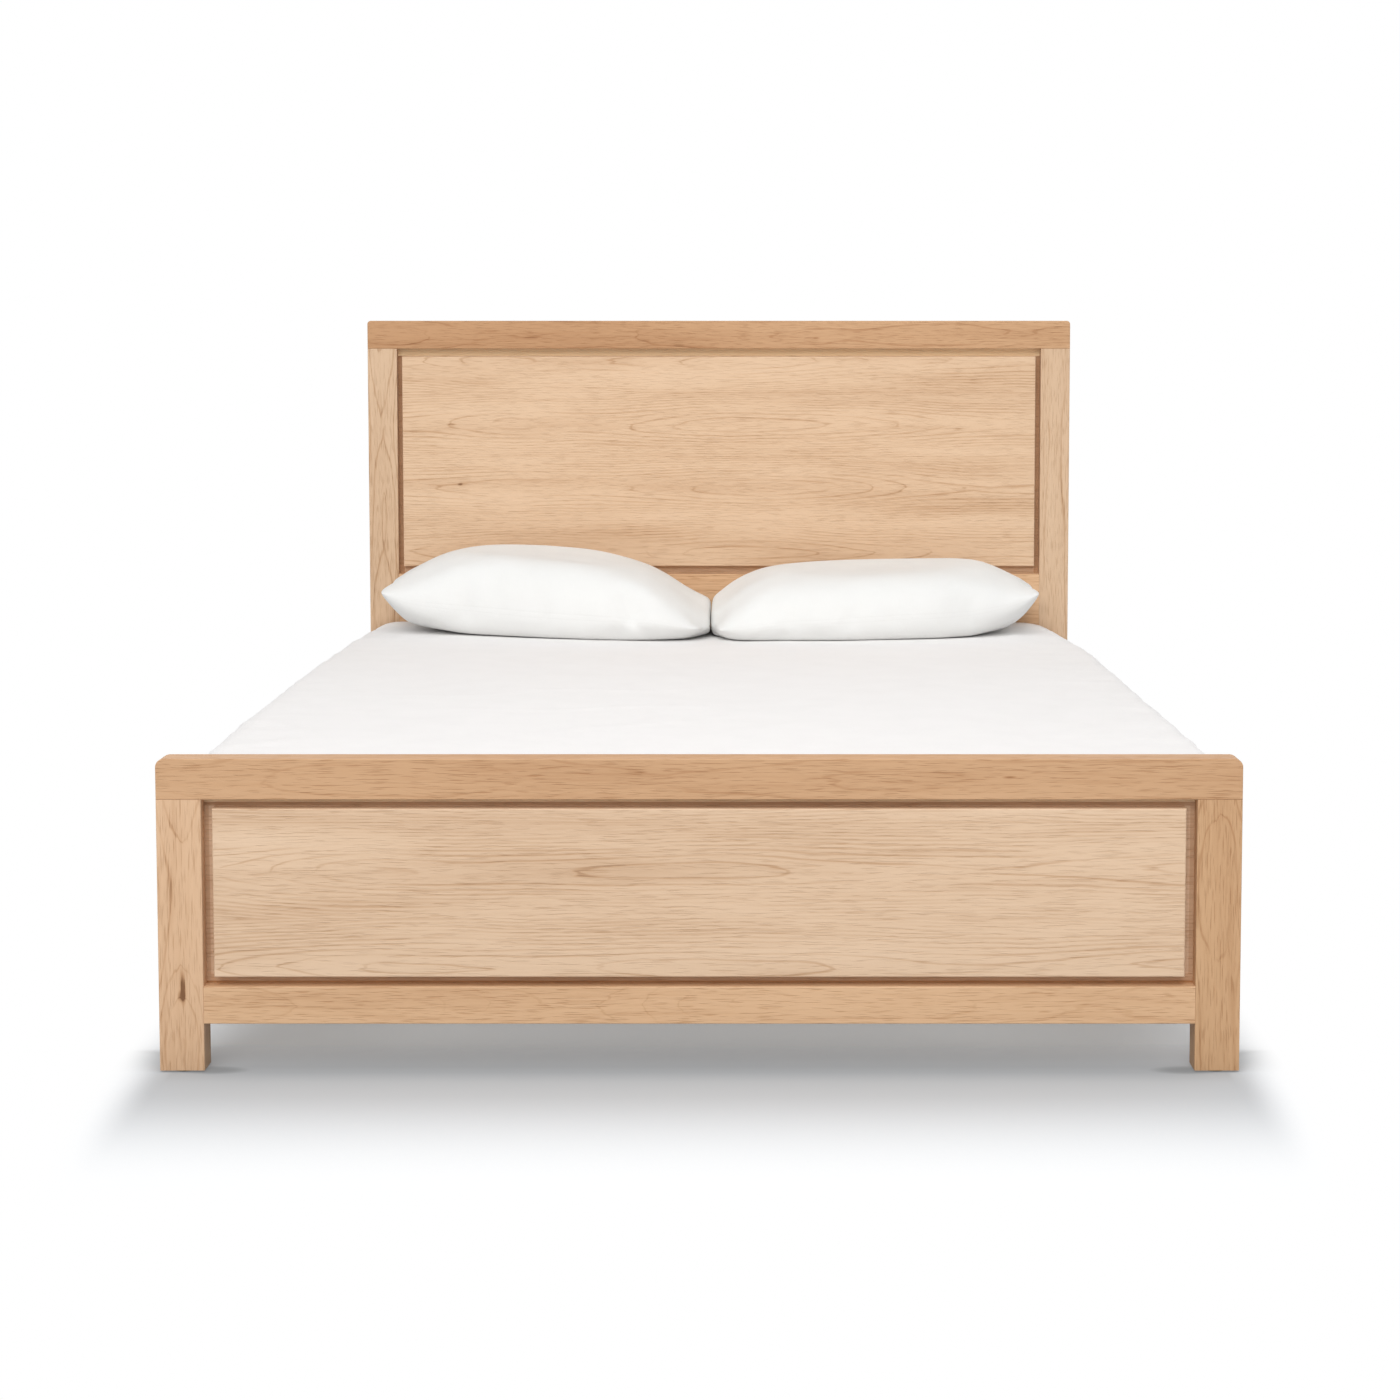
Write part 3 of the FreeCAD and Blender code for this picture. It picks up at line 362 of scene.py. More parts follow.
@dataclass(frozen=True)
class WoodFinish:
    """Sawn wood with rings about a heart behind the face, streaks and pores.

    Attributes:
        name: The finish's name.
        cut: Which way the grain runs.
        tone: The middle colour.
        seed: A number that makes this board unlike the next.
        board: The height of the boards a panel is glued up from, or 0 for one board.
        datum: The height at which one of those boards begins.
        spindles: Where rings close on the face.
        heart: How far behind the face the heart lies.
        swing: How far the heart wanders towards the face and away.
        reach: How many times it wanders in a metre.
        ring: One year's growth.
        figure: How dark the rings are.
        streaks: How strong the streaks are.
        pores: How strong the pores are.
        blush: Where the board turns redder, from one place along it to another.
        groove: A panel's lowered margin, with its painted shade and the painted light above the field.
        knots: The knots on its face.
        gloss: The strength of the shine.
    """

    name: str
    cut: Cut
    tone: Colour
    seed: float
    board: float = 0.0
    datum: float = 0.0
    spindles: tuple[Spindle, ...] = ()
    heart: float = 0.085
    swing: float = 0.030
    reach: float = 1.9
    ring: float = 0.0050
    figure: float = 0.24
    streaks: float = 0.42
    pores: float = 0.20
    blush: tuple[float, float] | None = None
    groove: GrooveShade | None = None
    knots: tuple[Knot, ...] = ()
    gloss: float = 0.30

    def material(self, node: str) -> Material:
        """Makes the finish for one board.

        Args:
            node: The board's node, which gives the face and the middle.

        Returns:
            The material.
        """
        low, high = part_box(node)
        graph = Graph(bpy.data.materials.new(f"{self.name}_{node}"))
        axes = graph.place()
        length, width, depth = (axes[axis] for axis in self.cut.value)
        across, behind = self.cut.value[1:]
        # Each board's middle line
        row: Input = self.seed
        if self.board:
            count = ((width - self.datum) / self.board).whole()
            local = width - self.datum - (count + 0.5) * self.board
            row = count * 3.71 + self.seed
        else:
            local = width - (low[across] + high[across]) / 2
        # Yearly rings, cut by the face where the heart wanders behind it
        wander = graph.noise((length * 2.4, width * 9.0, row), 2)
        line = local + wander * 0.012
        drift = graph.noise((length * self.reach, row, self.seed), 1)
        deep = drift * self.swing + (depth - low[behind]) + self.heart
        for spindle in self.spindles:
            off = (length + wander * 0.10 - spindle.along) / spindle.reach
            deep = deep - (off * off * -1.0).grow() * (spindle.rings * self.ring)
        radius = (line * line + deep * deep).root()
        jitter = graph.noise((length * 9.0, width * 90.0, depth * 90.0), 2)
        year = (radius / self.ring + jitter * 0.22).part()
        lean = line / radius
        steep = (lean * lean + 0.004).root()
        ringed = 1.0 - ((year - 0.5).size() * self.ring / steep).between(0.0004, 0.0024)
        late = ringed * 0.8 + year.between(0.2, 0.5) * (1.0 - year.between(0.5, 0.62)) * 0.2
        late = late * (1.0 - lean * lean * 0.72)
        # Painted shade in a panel's lowered margin, where the rings fade too
        dark = self.groove.painted_shade(axes[0], axes[2]) if self.groove else 0.0
        fade = graph.noise((length * 3.4, width * 30.0, row), 2).between(-0.38, 0.20)
        # Streaks, patches and pores along the grain
        grain = width + wander * 0.006
        streak = graph.noise((length * 6.5, grain * 150.0, depth * 150.0 + self.seed), 3, 0.62)
        broad = graph.noise((length * 1.1, grain * 15.0, depth * 15.0 + self.seed), 2)
        pore = graph.noise((length * 26.0, grain * 560.0, depth * 560.0), 1).between(0.10, 0.42)
        dash = streak.between(0.12, 0.42)
        level = (broad * 0.26 + streak * (self.streaks * 0.55) + 0.64
                 - late * fade * (1.0 - dark) * self.figure
                 - dash * (self.streaks * 0.42) - pore * self.pores)
        for knot in self.knots:
            reach_along = (length - knot.along) / knot.length
            reach_across = (grain - knot.across) / knot.width
            spread = (reach_along * reach_along + reach_across * reach_across).root()
            core = 1.0 - (spread + jitter * 0.5).between(0.15, 1.0)
            level = level - core * knot.depth
        if self.board:
            joint = (local.size() - (self.board / 2 - 0.0009)).between(0.0, 0.0006)
            level = level - joint * 0.10
        red, green, blue = self.tone
        colour = graph.ramp(level, (
            (0.0, (red * 0.30, green * 0.21, blue * 0.14)),
            (0.32, (red * 0.73, green * 0.63, blue * 0.54)),
            (0.64, (red, green, blue)),
            (1.0, (red * 1.12, green * 1.17, blue * 1.24)),
        ))
        if self.blush:
            colour = graph.mix(length.between(*self.blush), colour, (0.88, 0.82, 0.76), Blend.STAIN)
        # The margin's painted shade, and painted light that makes it paler above the field
        if self.groove:
            colour = graph.mix(dark, colour, (0.52, 0.33, 0.18), Blend.STAIN)
            start, share = self.groove.pale
            painted_light = (axes[2] - self.groove.high).between(start, start + self.groove.step)
            colour = graph.mix(painted_light * share, colour, (0.99, 0.75, 0.45))
        roughness = pore * 0.14 + (0.50 - streak * 0.06)
        height = streak * 0.35 - pore * 0.9 - late * 0.3
        return graph.dress(colour, roughness, height, 0.00035, Specular_IOR_Level=self.gloss)


@dataclass(frozen=True)
class HardFinish:
    """Metal or moulded plastic: a mottled colour with fine relief.

    Attributes:
        name: The finish's name.
        tone: The middle colour.
        metal: Whether it is bare metal.
        roughness: The middle roughness.
        mottle: How many patches there are in a metre.
        change: How much the patches differ.
        grit: How many grains of relief there are in a metre.
        depth: How deep the relief is.
        drawn: How far the pattern is drawn out along Z, as brushing.
    """

    name: str
    tone: Colour
    metal: bool
    roughness: float
    mottle: float
    change: float
    grit: float
    depth: float
    drawn: float = 1.0

    @cache
    def material(self) -> Material:
        """Makes the finish, once.

        Returns:
            The material.
        """
        graph = Graph(bpy.data.materials.new(self.name))
        x, y, z = graph.place()
        patch = graph.noise((x * self.mottle, y * self.mottle, z * self.mottle), 3)
        fine = graph.noise((x * self.grit, y * self.grit, z * (self.grit / self.drawn)), 2)
        dark = tuple(channel * (1 - self.change) for channel in self.tone)
        light = tuple(min(1, channel * (1 + self.change)) for channel in self.tone)
        colour = graph.ramp(patch * 0.6 + fine * 0.25 + 0.5, ((0.1, dark), (0.9, light)))
        roughness = patch * 0.12 + fine * 0.06 + self.roughness
        return graph.dress(colour, roughness, fine, self.depth, Metallic=float(self.metal))


class Weave(Enum):
    """How a cloth is made: threads over and under, a ribbed tape, or a stitched knit."""

    PLAIN = "plain"
    TAPE = "tape"
    KNIT = "knit"


@dataclass(frozen=True)
class ClothFinish:
    """Woven or knitted cloth with its threads, small creases and soft sheen.

    Attributes:
        name: The finish's name.
        tone: The colour of the cloth.
        shade: Its darker colour, painted as shade in the creases, between the threads, in the quilting
            channels and along the stitching; the uneven slubs of the yarn also move the colour towards
            it in places.
        weave: How it is made.
        pitch: The width of one thread.
        crease: How deep the small creases are.
        fuzz: The strength of the sheen.
        sewn: Whether a line of stitching follows the seam, pressed in and darkened as painted shade.
    """

    name: str
    tone: Colour
    shade: Colour
    weave: Weave
    pitch: float
    crease: float
    fuzz: float
    sewn: bool = False

    @cache
    def material(self) -> Material:
        """Makes the finish, once.

        Returns:
            The material.
        """
        graph = Graph(bpy.data.materials.new(self.name))
        u, v, w = graph.place() if self.weave is Weave.KNIT else graph.cloth()
        x, y, z = graph.place()
        turn = math.pi / self.pitch
        if self.weave is Weave.TAPE:
            threads = (u * turn).wave().size() * ((v * turn * 0.5 + u * turn).wave() * 0.3 + 0.7)
        else:
            threads = (u * turn).wave() * ((v + w) * turn).wave()
        crumple = graph.noise((x * 16.0, y * 16.0, z * 16.0), 4, 0.55)
        slub = graph.noise((u * 40.0, v * 900.0, w * 40.0), 2)
        slub = slub + graph.noise((u * 900.0, v * 40.0, 3.0), 2)
        # Painted shade: the colour darkens where the threads and the creases dip; the slubs are the
        # yarn's own unevenness
        level = threads * 0.10 + crumple * 0.16 + slub * 0.08 + 0.72
        height = threads * (0.00006 / self.crease) + crumple
        if self.weave is Weave.KNIT:
            quilting = ((x + y) * 22.0).part() - 0.5
            counter = ((x - y) * 22.0).part() - 0.5
            channel = quilting.size().least(counter.size()).between(0.0, 0.13)
            # Painted shade in the pressed quilting channels
            level = level - (1.0 - channel) * 0.28
            height = height + channel * 2.5
        if self.sewn:
            line = 1.0 - (graph.attribute("seam") - 0.006).size().between(0.0008, 0.0022)
            # Painted shade along the pressed stitching
            level = level - line * 0.08
            height = height - line * 0.5
        colour = graph.ramp(level, ((0.0, self.shade), (0.8, self.tone)))
        roughness = crumple * 0.05 + slub * 0.03 + 0.86
        return graph.dress(colour, roughness, height, self.crease, Sheen_Weight=self.fuzz,
                           Sheen_Roughness=0.5, Specular_IOR_Level=0.2)


FOOT_PANEL_TONE = linear(222, 191, 160)
PANEL_TONE = linear(220, 187, 154)
RAIL_TONE = linear(203, 161, 122)
HEAD_RAIL_TONE = linear(201, 159, 120)
LOW_RAIL_TONE = linear(218, 178, 139)
POST_TONE = linear(211, 179, 147)
LEFT_POST_TONE = linear(216, 178, 142)
RIGHT_POST_TONE = linear(203, 162, 122)
PINE_TONE = linear(229, 199, 156)
BEECH_TONE = linear(214, 180, 144)

# What both panels share: fine rings near the face, and few pores
PANEL = {"pores": 0.12, "streaks": 0.30, "heart": 0.060, "swing": 0.006, "ring": 0.0042}

OAK: dict[str, WoodFinish] = {
    "footboard_post_left": WoodFinish(
        "oak", Cut.UPRIGHT, LEFT_POST_TONE, 1.3, heart=0.070, reach=2.6,
        knots=(Knot(0.133, -0.784, 0.034, 0.0055, 0.62), Knot(0.118, -0.7855, 0.011, 0.0075, 0.45)),
    ),
    "footboard_post_right": WoodFinish(
        "oak", Cut.UPRIGHT, RIGHT_POST_TONE, 5.9, heart=0.11, figure=0.22,
    ),
    "footboard_top_rail": WoodFinish(
        "oak", Cut.ACROSS, RAIL_TONE, 2.2, heart=0.12, figure=0.16, reach=1.2,
        knots=(Knot(0.468, 0.4545, 0.016, 0.0035, 0.40),),
    ),
    "footboard_panel": WoodFinish(
        "oak", Cut.ACROSS, FOOT_PANEL_TONE, 8.4, board=0.147, datum=0.2365, **PANEL,
        spindles=(Spindle(-0.47, 0.25, 3.8), Spindle(0.03, 0.32, 3.9), Spindle(0.76, 0.36, 3.7)),
        # Painted shade round the raised field, and painted light above it
        groove=GrooveShade(0.736, 0.1465, 0.405, sides=((0.0, 0.0085, 0.18), (0.0085, 0.05, 0.50)),
                      above=((0.0, 0.0060, 0.64),),
                      below=((0.0, 0.0100, 0.50), (0.0100, 0.05, 0.95)), pale=(0.006, 0.55)),
    ),
    "footboard_bottom_rail": WoodFinish(
        "oak", Cut.ACROSS, LOW_RAIL_TONE, 3.1, heart=0.16, figure=0.12,
    ),
    "headboard_post_left": WoodFinish("oak", Cut.UPRIGHT, POST_TONE, 4.6, heart=0.075, reach=2.2),
    "headboard_post_right": WoodFinish("oak", Cut.UPRIGHT, POST_TONE, 7.7, heart=0.10),
    "headboard_top_rail": WoodFinish(
        "oak", Cut.ACROSS, HEAD_RAIL_TONE, 6.2, heart=0.12, figure=0.22, blush=(0.30, -0.45),
        knots=(Knot(0.226, 1.119, 0.012, 0.0035, 0.35),),
    ),
    "headboard_panel": WoodFinish(
        "oak", Cut.ACROSS, PANEL_TONE, 9.5, board=0.150, datum=0.541, **PANEL,
        spindles=(Spindle(0.08, 0.34, 3.6), Spindle(-0.50, 0.16, 1.6)),
        # Painted shade round the raised field, and painted light above it
        groove=GrooveShade(0.7405, 0.583, 1.075, sides=((0.0005, 0.05, 0.66),), above=(),
                      below=((0.0, 0.0060, 0.22), (0.0130, 0.05, 0.25)), pale=(0.001, 0.86)),
        knots=(Knot(-0.606, 0.775, 0.009, 0.005, 0.45), Knot(-0.625, 0.915, 0.014, 0.004, 0.28),
               Knot(0.560, 0.905, 0.018, 0.004, 0.24), Knot(0.575, 0.768, 0.010, 0.004, 0.22)),
    ),
    "headboard_middle_rail": WoodFinish("oak", Cut.ACROSS, LOW_RAIL_TONE, 1.8, heart=0.10),
    "headboard_bottom_rail": WoodFinish("oak", Cut.ACROSS, LOW_RAIL_TONE, 5.2, heart=0.13),
    "side_rail_left": WoodFinish("oak", Cut.LENGTHWISE, POST_TONE, 2.9, heart=0.10),
    "side_rail_right": WoodFinish("oak", Cut.LENGTHWISE, POST_TONE, 6.8, heart=0.09),
}


def pine(cut: Cut, seed: float) -> WoodFinish:
    """Returns planed pine with its own seed: pale, with clear rings and hardly any pores."""
    return WoodFinish("pine", cut, PINE_TONE, seed, heart=0.06, ring=0.0038, figure=0.34,
                      streaks=0.18, pores=0.04, gloss=0.25)


def beech(cut: Cut, seed: float) -> WoodFinish:
    """Returns the dowels' beech with its own seed."""
    return WoodFinish("beech", cut, BEECH_TONE, seed, figure=0.1)


HARD: dict[str, HardFinish] = {finish.name: finish for finish in (
    HardFinish("black_steel", linear(42, 42, 44), metal=False, roughness=0.46,
               mottle=9.0, change=0.25, grit=900.0, depth=0.00006),
    HardFinish("zinc_steel", linear(206, 206, 202), metal=True, roughness=0.30,
               mottle=60.0, change=0.18, grit=500.0, depth=0.00002),
    HardFinish("foot_steel", linear(190, 190, 190), metal=True, roughness=0.36,
               mottle=30.0, change=0.15, grit=700.0, depth=0.00002, drawn=8.0),
    HardFinish("glide_plastic", linear(138, 130, 122), metal=False, roughness=0.55,
               mottle=40.0, change=0.15, grit=800.0, depth=0.00004),
)}
# Each cloth's second colour is its painted shade in the creases and between the threads
TICKING = ClothFinish("mattress_ticking", linear(240, 239, 234), linear(205, 203, 196), Weave.KNIT,
                      pitch=0.0012, crease=0.0006, fuzz=0.25)
QUILT_COTTON = ClothFinish("quilt_cotton", linear(245, 243, 242), linear(226, 224, 223), Weave.PLAIN,
                           pitch=0.0008, crease=0.0005, fuzz=0.14)
PERCALE = ClothFinish("pillow_cotton", linear(237, 237, 235), linear(222, 221, 218), Weave.PLAIN,
                      pitch=0.0005, crease=0.0003, fuzz=0.06, sewn=True)
WEBBING = ClothFinish("webbing", linear(222, 216, 202), linear(170, 162, 146), Weave.TAPE,
                      pitch=0.0018, crease=0.0003, fuzz=0.20)


# Bedding


class Side(Enum):
    """A side of the bed, seen from its foot."""

    LEFT = "left"
    RIGHT = "right"


def smooth_piece(name: str, mesh: BMesh, material: Material) -> Object:
    """Makes an object of a finished mesh, with smooth faces that point outwards.

    Args:
        name: The piece's name.
        mesh: The mesh, which is freed.
        material: What it is finished in.

    Returns:
        The object, at the origin.
    """
    bmesh.ops.recalc_face_normals(mesh, faces=mesh.faces[:])
    for face in mesh.faces:
        face.smooth = True
    data = bpy.data.meshes.new(name)
    mesh.to_mesh(data)
    mesh.free()
    data.materials.append(material)
    piece = bpy.data.objects.new(name, data)
    bpy.context.scene.collection.objects.link(piece)
    return piece


def lay_out(mesh: BMesh, flat: Callable[[BMVert], tuple[float, float]]) -> None:
    """Writes where each vertex lies on the flat cloth to the map that the cloth finishes read.

    Args:
        mesh: The mesh.
        flat: What gives a vertex's place on the flat cloth, in metres.
    """
    layer = mesh.loops.layers.uv.new("cloth")
    for face in mesh.faces:
        for loop in face.loops:
            loop[layer].uv = flat(loop.vert)


def block(mesh: BMesh, low: Vector, high: Vector) -> list[BMVert]:
    """Adds a plain block.

    Args:
        mesh: The mesh it joins.
        low: Its lowest corner.
        high: Its highest corner.

    Returns:
        Its vertices.
    """
    made = bmesh.ops.create_cube(mesh, size=1.0)["verts"]
    bmesh.ops.scale(mesh, vec=high - low, verts=made)
    bmesh.ops.translate(mesh, vec=(low + high) / 2, verts=made)
    return made


def round_off(mesh: BMesh, edges: Sequence[BMEdge], radius: float, rounds: int) -> list[BMVert]:
    """Rounds edges to a radius with so many faces, and returns the new vertices."""
    return bmesh.ops.bevel(mesh, geom=edges, offset=radius, offset_type="OFFSET", segments=rounds,
                           profile=0.5, affect="EDGES", material=-1)["verts"]


def curve_through(start: Vector, middle: Point, end: Point, count: int) -> list[Vector]:
    """Gives points on a smooth arc that passes its middle halfway.

    Args:
        start: Where it starts, which isn't repeated.
        middle: The point it passes.
        end: Where it ends.
        count: How many points follow the start.

    Returns:
        The points, the last one at the end.
    """
    first, through, last = Vector(start), Vector(middle), Vector(end)
    pull = through * 2 - (first + last) / 2
    points = []
    for step in range(1, count + 1):
        share = step / count
        rest = 1 - share
        points.append(first * rest * rest + pull * 2 * rest * share + last * share * share)
    return points


@dataclass
class Mattress:
    """A sprung mattress: a rounded body with a welt round its top and bottom edge.

    Attributes:
        welt: The radius of the welt.
        corner: The radius of the corners.
        edge: The radius of the edges.
        inset: How far the welts stand in from the top and bottom.
    """

    welt: float = 0.0045
    corner: float = 0.060
    edge: float = 0.018
    inset: float = 0.016

    def build(self) -> Object:
        """Makes the mattress and lets it ride on its own body.

        Returns:
            The piece.
        """
        low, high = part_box("mattress")
        mesh = bmesh.new()
        margin = Vector((self.welt, self.welt, 0.0))
        self._slab(mesh, low + margin, high - margin, self.edge, 5)
        for level in (low.z + self.inset, high.z - self.inset):
            self._slab(mesh, Vector((low.x, low.y, level - self.welt)),
                       Vector((high.x, high.y, level + self.welt)), self.welt * 0.98, 4)
        piece = smooth_piece("mattress_padding", mesh, TICKING.material())
        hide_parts("mattress")
        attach(piece, "mattress")
        return piece

    def _slab(self, mesh: BMesh, low: Vector, high: Vector, edge: float, rounds: int) -> None:
        """Adds a slab with rounded corners and edges.

        Args:
            mesh: The mesh it joins.
            low: Its lowest corner.
            high: Its highest corner.
            edge: The radius of its edges.
            rounds: How many faces go round an edge.
        """
        made = block(mesh, low, high)
        edges = {e for v in made for e in v.link_edges}
        tall = (high.z - low.z) / 2
        upright = [e for e in edges if abs(e.verts[0].co.z - e.verts[1].co.z) > tall]
        rounded = round_off(mesh, upright, self.corner, 10)
        faces = {f for v in rounded for f in v.link_faces}
        faces |= {f for f in list(faces) for e in f.edges for f in e.link_faces}
        rims = {e for f in faces for e in f.edges
                if len({round(g.normal.z, 3) for g in e.link_faces}) == 2}
        round_off(mesh, list(rims), edge, rounds)


@dataclass
class Quilt:
    """A thin white quilt over the mattress, tucked inside the rails and bulging above them.

    Attributes:
        thickness: How thick it is.
        hem: The height of its hem.
        over_rail: Where it comes out of the tuck.
        bulge_height: The height at which it stands out most.
        tuck: Half its width inside the rails.
        limit: The most that half its width may be there.
        bulge: How far it stands out at the head.
        shoulder: How far the turn to the top reaches in.
        drop: How far it drops at the turn.
        fall: How far its top falls at the foot.
        head_turns: How much further in the turn reaches at the head, left and right.
        corner: The radius of the mattress's corners.
        cell: The size of a face.
        wave: The height of its soft waves.
        ripple: The height of its smaller waves.
        ridge: The height of its creases.
        fold: The depth of the folds at the tuck.
        folded: How far from the middle the folds begin, and over how much they grow.
        high: Above what height the folds are shallower.
        front_rows: At what shares of the front end's height it has a row.
        narrow: How wide the lowest row is beside the highest.
        lean: How far the lowest row leans in.
        front: How high the front end is.
        parting: Where the two pillows part.
        covered: From what place along and how far from the parting they lie on it.
        belly: How far from the parting each pillow reaches furthest to the foot.
        soft: Over how much the imprint fades, across the bed and along it.
        imprint: How much it puffs up round the pillows, and gives under them.
        foot: Where its foot end lies, as the frame has it.
        head: Where its head end lies.
        top: The height of its top.
    """

    thickness: float = 0.0165
    hem: float = 0.2635
    over_rail: float = 0.304
    bulge_height: float = 0.392
    tuck: float = 0.783
    limit: float = 0.7858
    bulge: float = 0.0355
    shoulder: float = 0.034
    drop: float = 0.011
    fall: float = 0.018
    head_turns: tuple[float, float] = (0.042, 0.082)
    corner: float = 0.060
    cell: float = 0.0135
    wave: float = 0.0026
    ripple: float = 0.0013
    ridge: float = 0.0024
    fold: float = 0.0042
    folded: tuple[float, float] = (0.62, 0.14)
    high: float = 0.44
    front_rows: tuple[float, ...] = (0.0, 0.2, 0.4, 0.6, 0.8, 0.93)
    narrow: float = 0.35
    lean: float = 0.004
    front: float = 0.19
    parting: float = -0.015
    covered: tuple[float, float] = (0.60, 0.71)
    belly: float = 0.18
    soft: tuple[float, float] = (0.08, 0.10)
    imprint: tuple[float, float] = (0.0009, 0.0003)
    foot: float = field(init=False)
    head: float = field(init=False)
    top: float = field(init=False)

    def build(self) -> Object:
        """Makes the quilt and lets it ride with the mattress.

        Returns:
            The piece.
        """
        low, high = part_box("quilt")
        self.foot, self.head, self.top = low.y, high.y, high.z
        rows = [(self.foot, share) for share in self.front_rows]
        steps = int((self.head - self.foot) / self.cell)
        rows += [(self.foot + (self.head - self.foot) * step / steps, 1.0) for step in range(steps + 1)]
        sections = [self._section(y) for y, _ in rows]
        columns = len(sections[0])
        mesh = bmesh.new()
        bmesh.ops.create_grid(mesh, x_segments=columns - 1, y_segments=len(rows) - 1, size=0.5)
        placed = {}
        for vertex in mesh.verts:
            column = round((vertex.co.x + 0.5) * (columns - 1))
            row = round((vertex.co.y + 0.5) * (len(rows) - 1))
            y, share = rows[row]
            placed[vertex] = (column, y, share)
            point = sections[row][column]
            width = self.narrow + (1 - self.narrow) * share
            rise = self.hem + (point.z - self.hem) * share
            vertex.co = (point.x * width, y + self.lean * (1 - share) ** 0.5, rise)

        def flat(vertex: BMVert) -> tuple[float, float]:
            """Gives a vertex's place on the flat quilt."""
            column, y, share = placed[vertex]
            return (column - (columns - 1) / 2) * self.cell, y - self.front * (1 - share)

        lay_out(mesh, flat)
        bmesh.ops.recalc_face_normals(mesh, faces=mesh.faces[:])
        if mesh.faces[len(mesh.faces) // 2].normal.z < 0:
            bmesh.ops.reverse_faces(mesh, faces=mesh.faces[:])
        outside = self._thicken(mesh)
        self._rumple(outside)
        piece = smooth_piece("quilt_cover", mesh, QUILT_COTTON.material())
        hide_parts("quilt")
        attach(piece, "mattress")
        return piece

    def _thicken(self, mesh: BMesh) -> list[tuple[BMVert, Vector]]:
        """Gives the quilt its thickness, held back where it turns sharply.

        Args:
            mesh: The quilt's outside.

        Returns:
            The outer vertices with their plain places.
        """
        number = mesh.verts.layers.int.new("number")
        outside = [(v, v.co.copy()) for v in mesh.verts]
        for place, (vertex, _) in enumerate(outside):
            vertex[number] = place
        bmesh.ops.solidify(mesh, geom=mesh.faces[:], thickness=self.thickness)
        outer = {vertex for vertex, _ in outside}
        for vertex in mesh.verts:
            if vertex not in outer:
                step = vertex.co - outside[vertex[number]][1]
                vertex.co -= step * max(0.0, 1 - 1.25 * self.thickness / step.length)
        return outside

    def _station(self, y: float, side: Side) -> tuple[float, float, float, float]:
        """Gives the quilt's measures across the bed at a place along it.

        Args:
            y: The place along the bed.
            side: The side.

        Returns:
            Half the width inside the rails and half that of the bulge, the top's height, and
            how far the turn to the top reaches in.
        """
        span = self.head - self.foot
        near = y - self.foot
        # Distances from the foot, and how much it draws in, falls and stands out there
        corner = (0.0, 0.0087, 0.0387, 0.0687)
        places = (*corner, 0.12 * span, 0.30 * span, 0.60 * span, 0.85 * span, span)
        draw = np.interp(near, corner, (0.80, 0.60, 0.22, 0.0))
        fall = np.interp(near, corner, (1.40, 0.62, 0.13, 0.0))
        left = np.interp(near, places, (0.10, 0.20, 0.28, 0.34, 0.54, 0.92, 1.00, 1.00, 0.97))
        right = np.interp(near, places, (0.10, 0.34, 0.64, 0.86, 0.96, 0.90, 0.78, 0.74, 0.72))
        further = self.head_turns[side is Side.RIGHT]
        turn = self.shoulder + np.interp(near / span, (0.72, 1.0), (0.0, further))
        tuck = self.tuck - draw * self.corner
        bulge = tuck + (left if side is Side.LEFT else right) * self.bulge
        return tuck, bulge, self.top - fall * self.fall, turn

    def _half(self, y: float, side: Side) -> list[Vector]:
        """Gives half of the quilt's outside across the bed, from the hem to the middle.

        Args:
            y: The place along the bed.
            side: The side.

        Returns:
            The points, as they lie on the right.
        """
        side_cells, turn_cells, top_cells = 9, 6, 57
        tuck, out, top, turn = self._station(y, side)
        heights = (self.hem, self.hem + 0.014, self.hem + 0.028, self.over_rail)
        half = [Vector((tuck, 0, height)) for height in heights]
        drop = self.drop * turn / self.shoulder * 0.8 + self.drop * 0.2
        widest = (out + 0.002, 0, self.bulge_height)
        half += curve_through(half[-1], widest, (out - turn * 0.16, 0, top - drop), side_cells)
        middle = (out - turn * 0.48, 0, top - drop * 0.24)
        half += curve_through(half[-1], middle, (out - turn, 0, top), turn_cells)
        for step in range(1, top_cells + 1):
            half.append(Vector(((out - turn) * (1 - step / top_cells), 0, top)))
        return half

    def _section(self, y: float) -> list[Vector]:
        """Gives the quilt's outside across the bed at y, from the left hem to the right one."""
        left = [Vector((-p.x, 0, p.z)) for p in self._half(y, Side.LEFT)[:-1]]
        return left + self._half(y, Side.RIGHT)[::-1]

    def _rumple(self, outside: list[tuple[BMVert, Vector]]) -> None:
        """Gives the outside its soft waves, creases and tucked folds.

        Args:
            outside: The outer vertices with their plain places.
        """
        for vertex, plain in outside:
            x, y, z = plain
            edge = min(1.0, max(0.0, (abs(x) - self.folded[0]) / self.folded[1]))
            wave = noise.noise((x * 2.6, y * 2.2, 4.7)) * self.wave
            wave += noise.noise((x * 6.5 + y * 2.0, y * 5.0, 1.9)) * self.ripple
            ridge = max(0.0, 1 - abs(noise.noise((x * 2.2 + y * 1.1, y * 2.9 - x * 1.2, 7.3))) / 0.10)
            patch = max(0.0, noise.noise((x * 1.7, y * 1.7, 2.2)) + 0.35)
            wave += ridge * ridge * self.ridge * patch
            fold = noise.noise((y * 10.0, math.copysign(3.0, x), z * 3.0))
            fold += 0.5 * noise.noise((y * 23.0, math.copysign(9.0, x), z * 5.0))
            wave += edge * fold * self.fold * (1.0 if z < self.high else 0.55)
            under = self._under_pillows(x, y)
            puff = max(0.0, 1 - abs(under - 0.3) / 0.3) * self.imprint[0]
            wave = wave * (1 - under) + puff - self.imprint[1] * under
            place = plain + vertex.normal * wave
            if z < self.over_rail + 0.004:
                place.x = math.copysign(min(abs(place.x), self.limit), place.x)
            place.y = max(place.y, self.foot)
            vertex.co = place

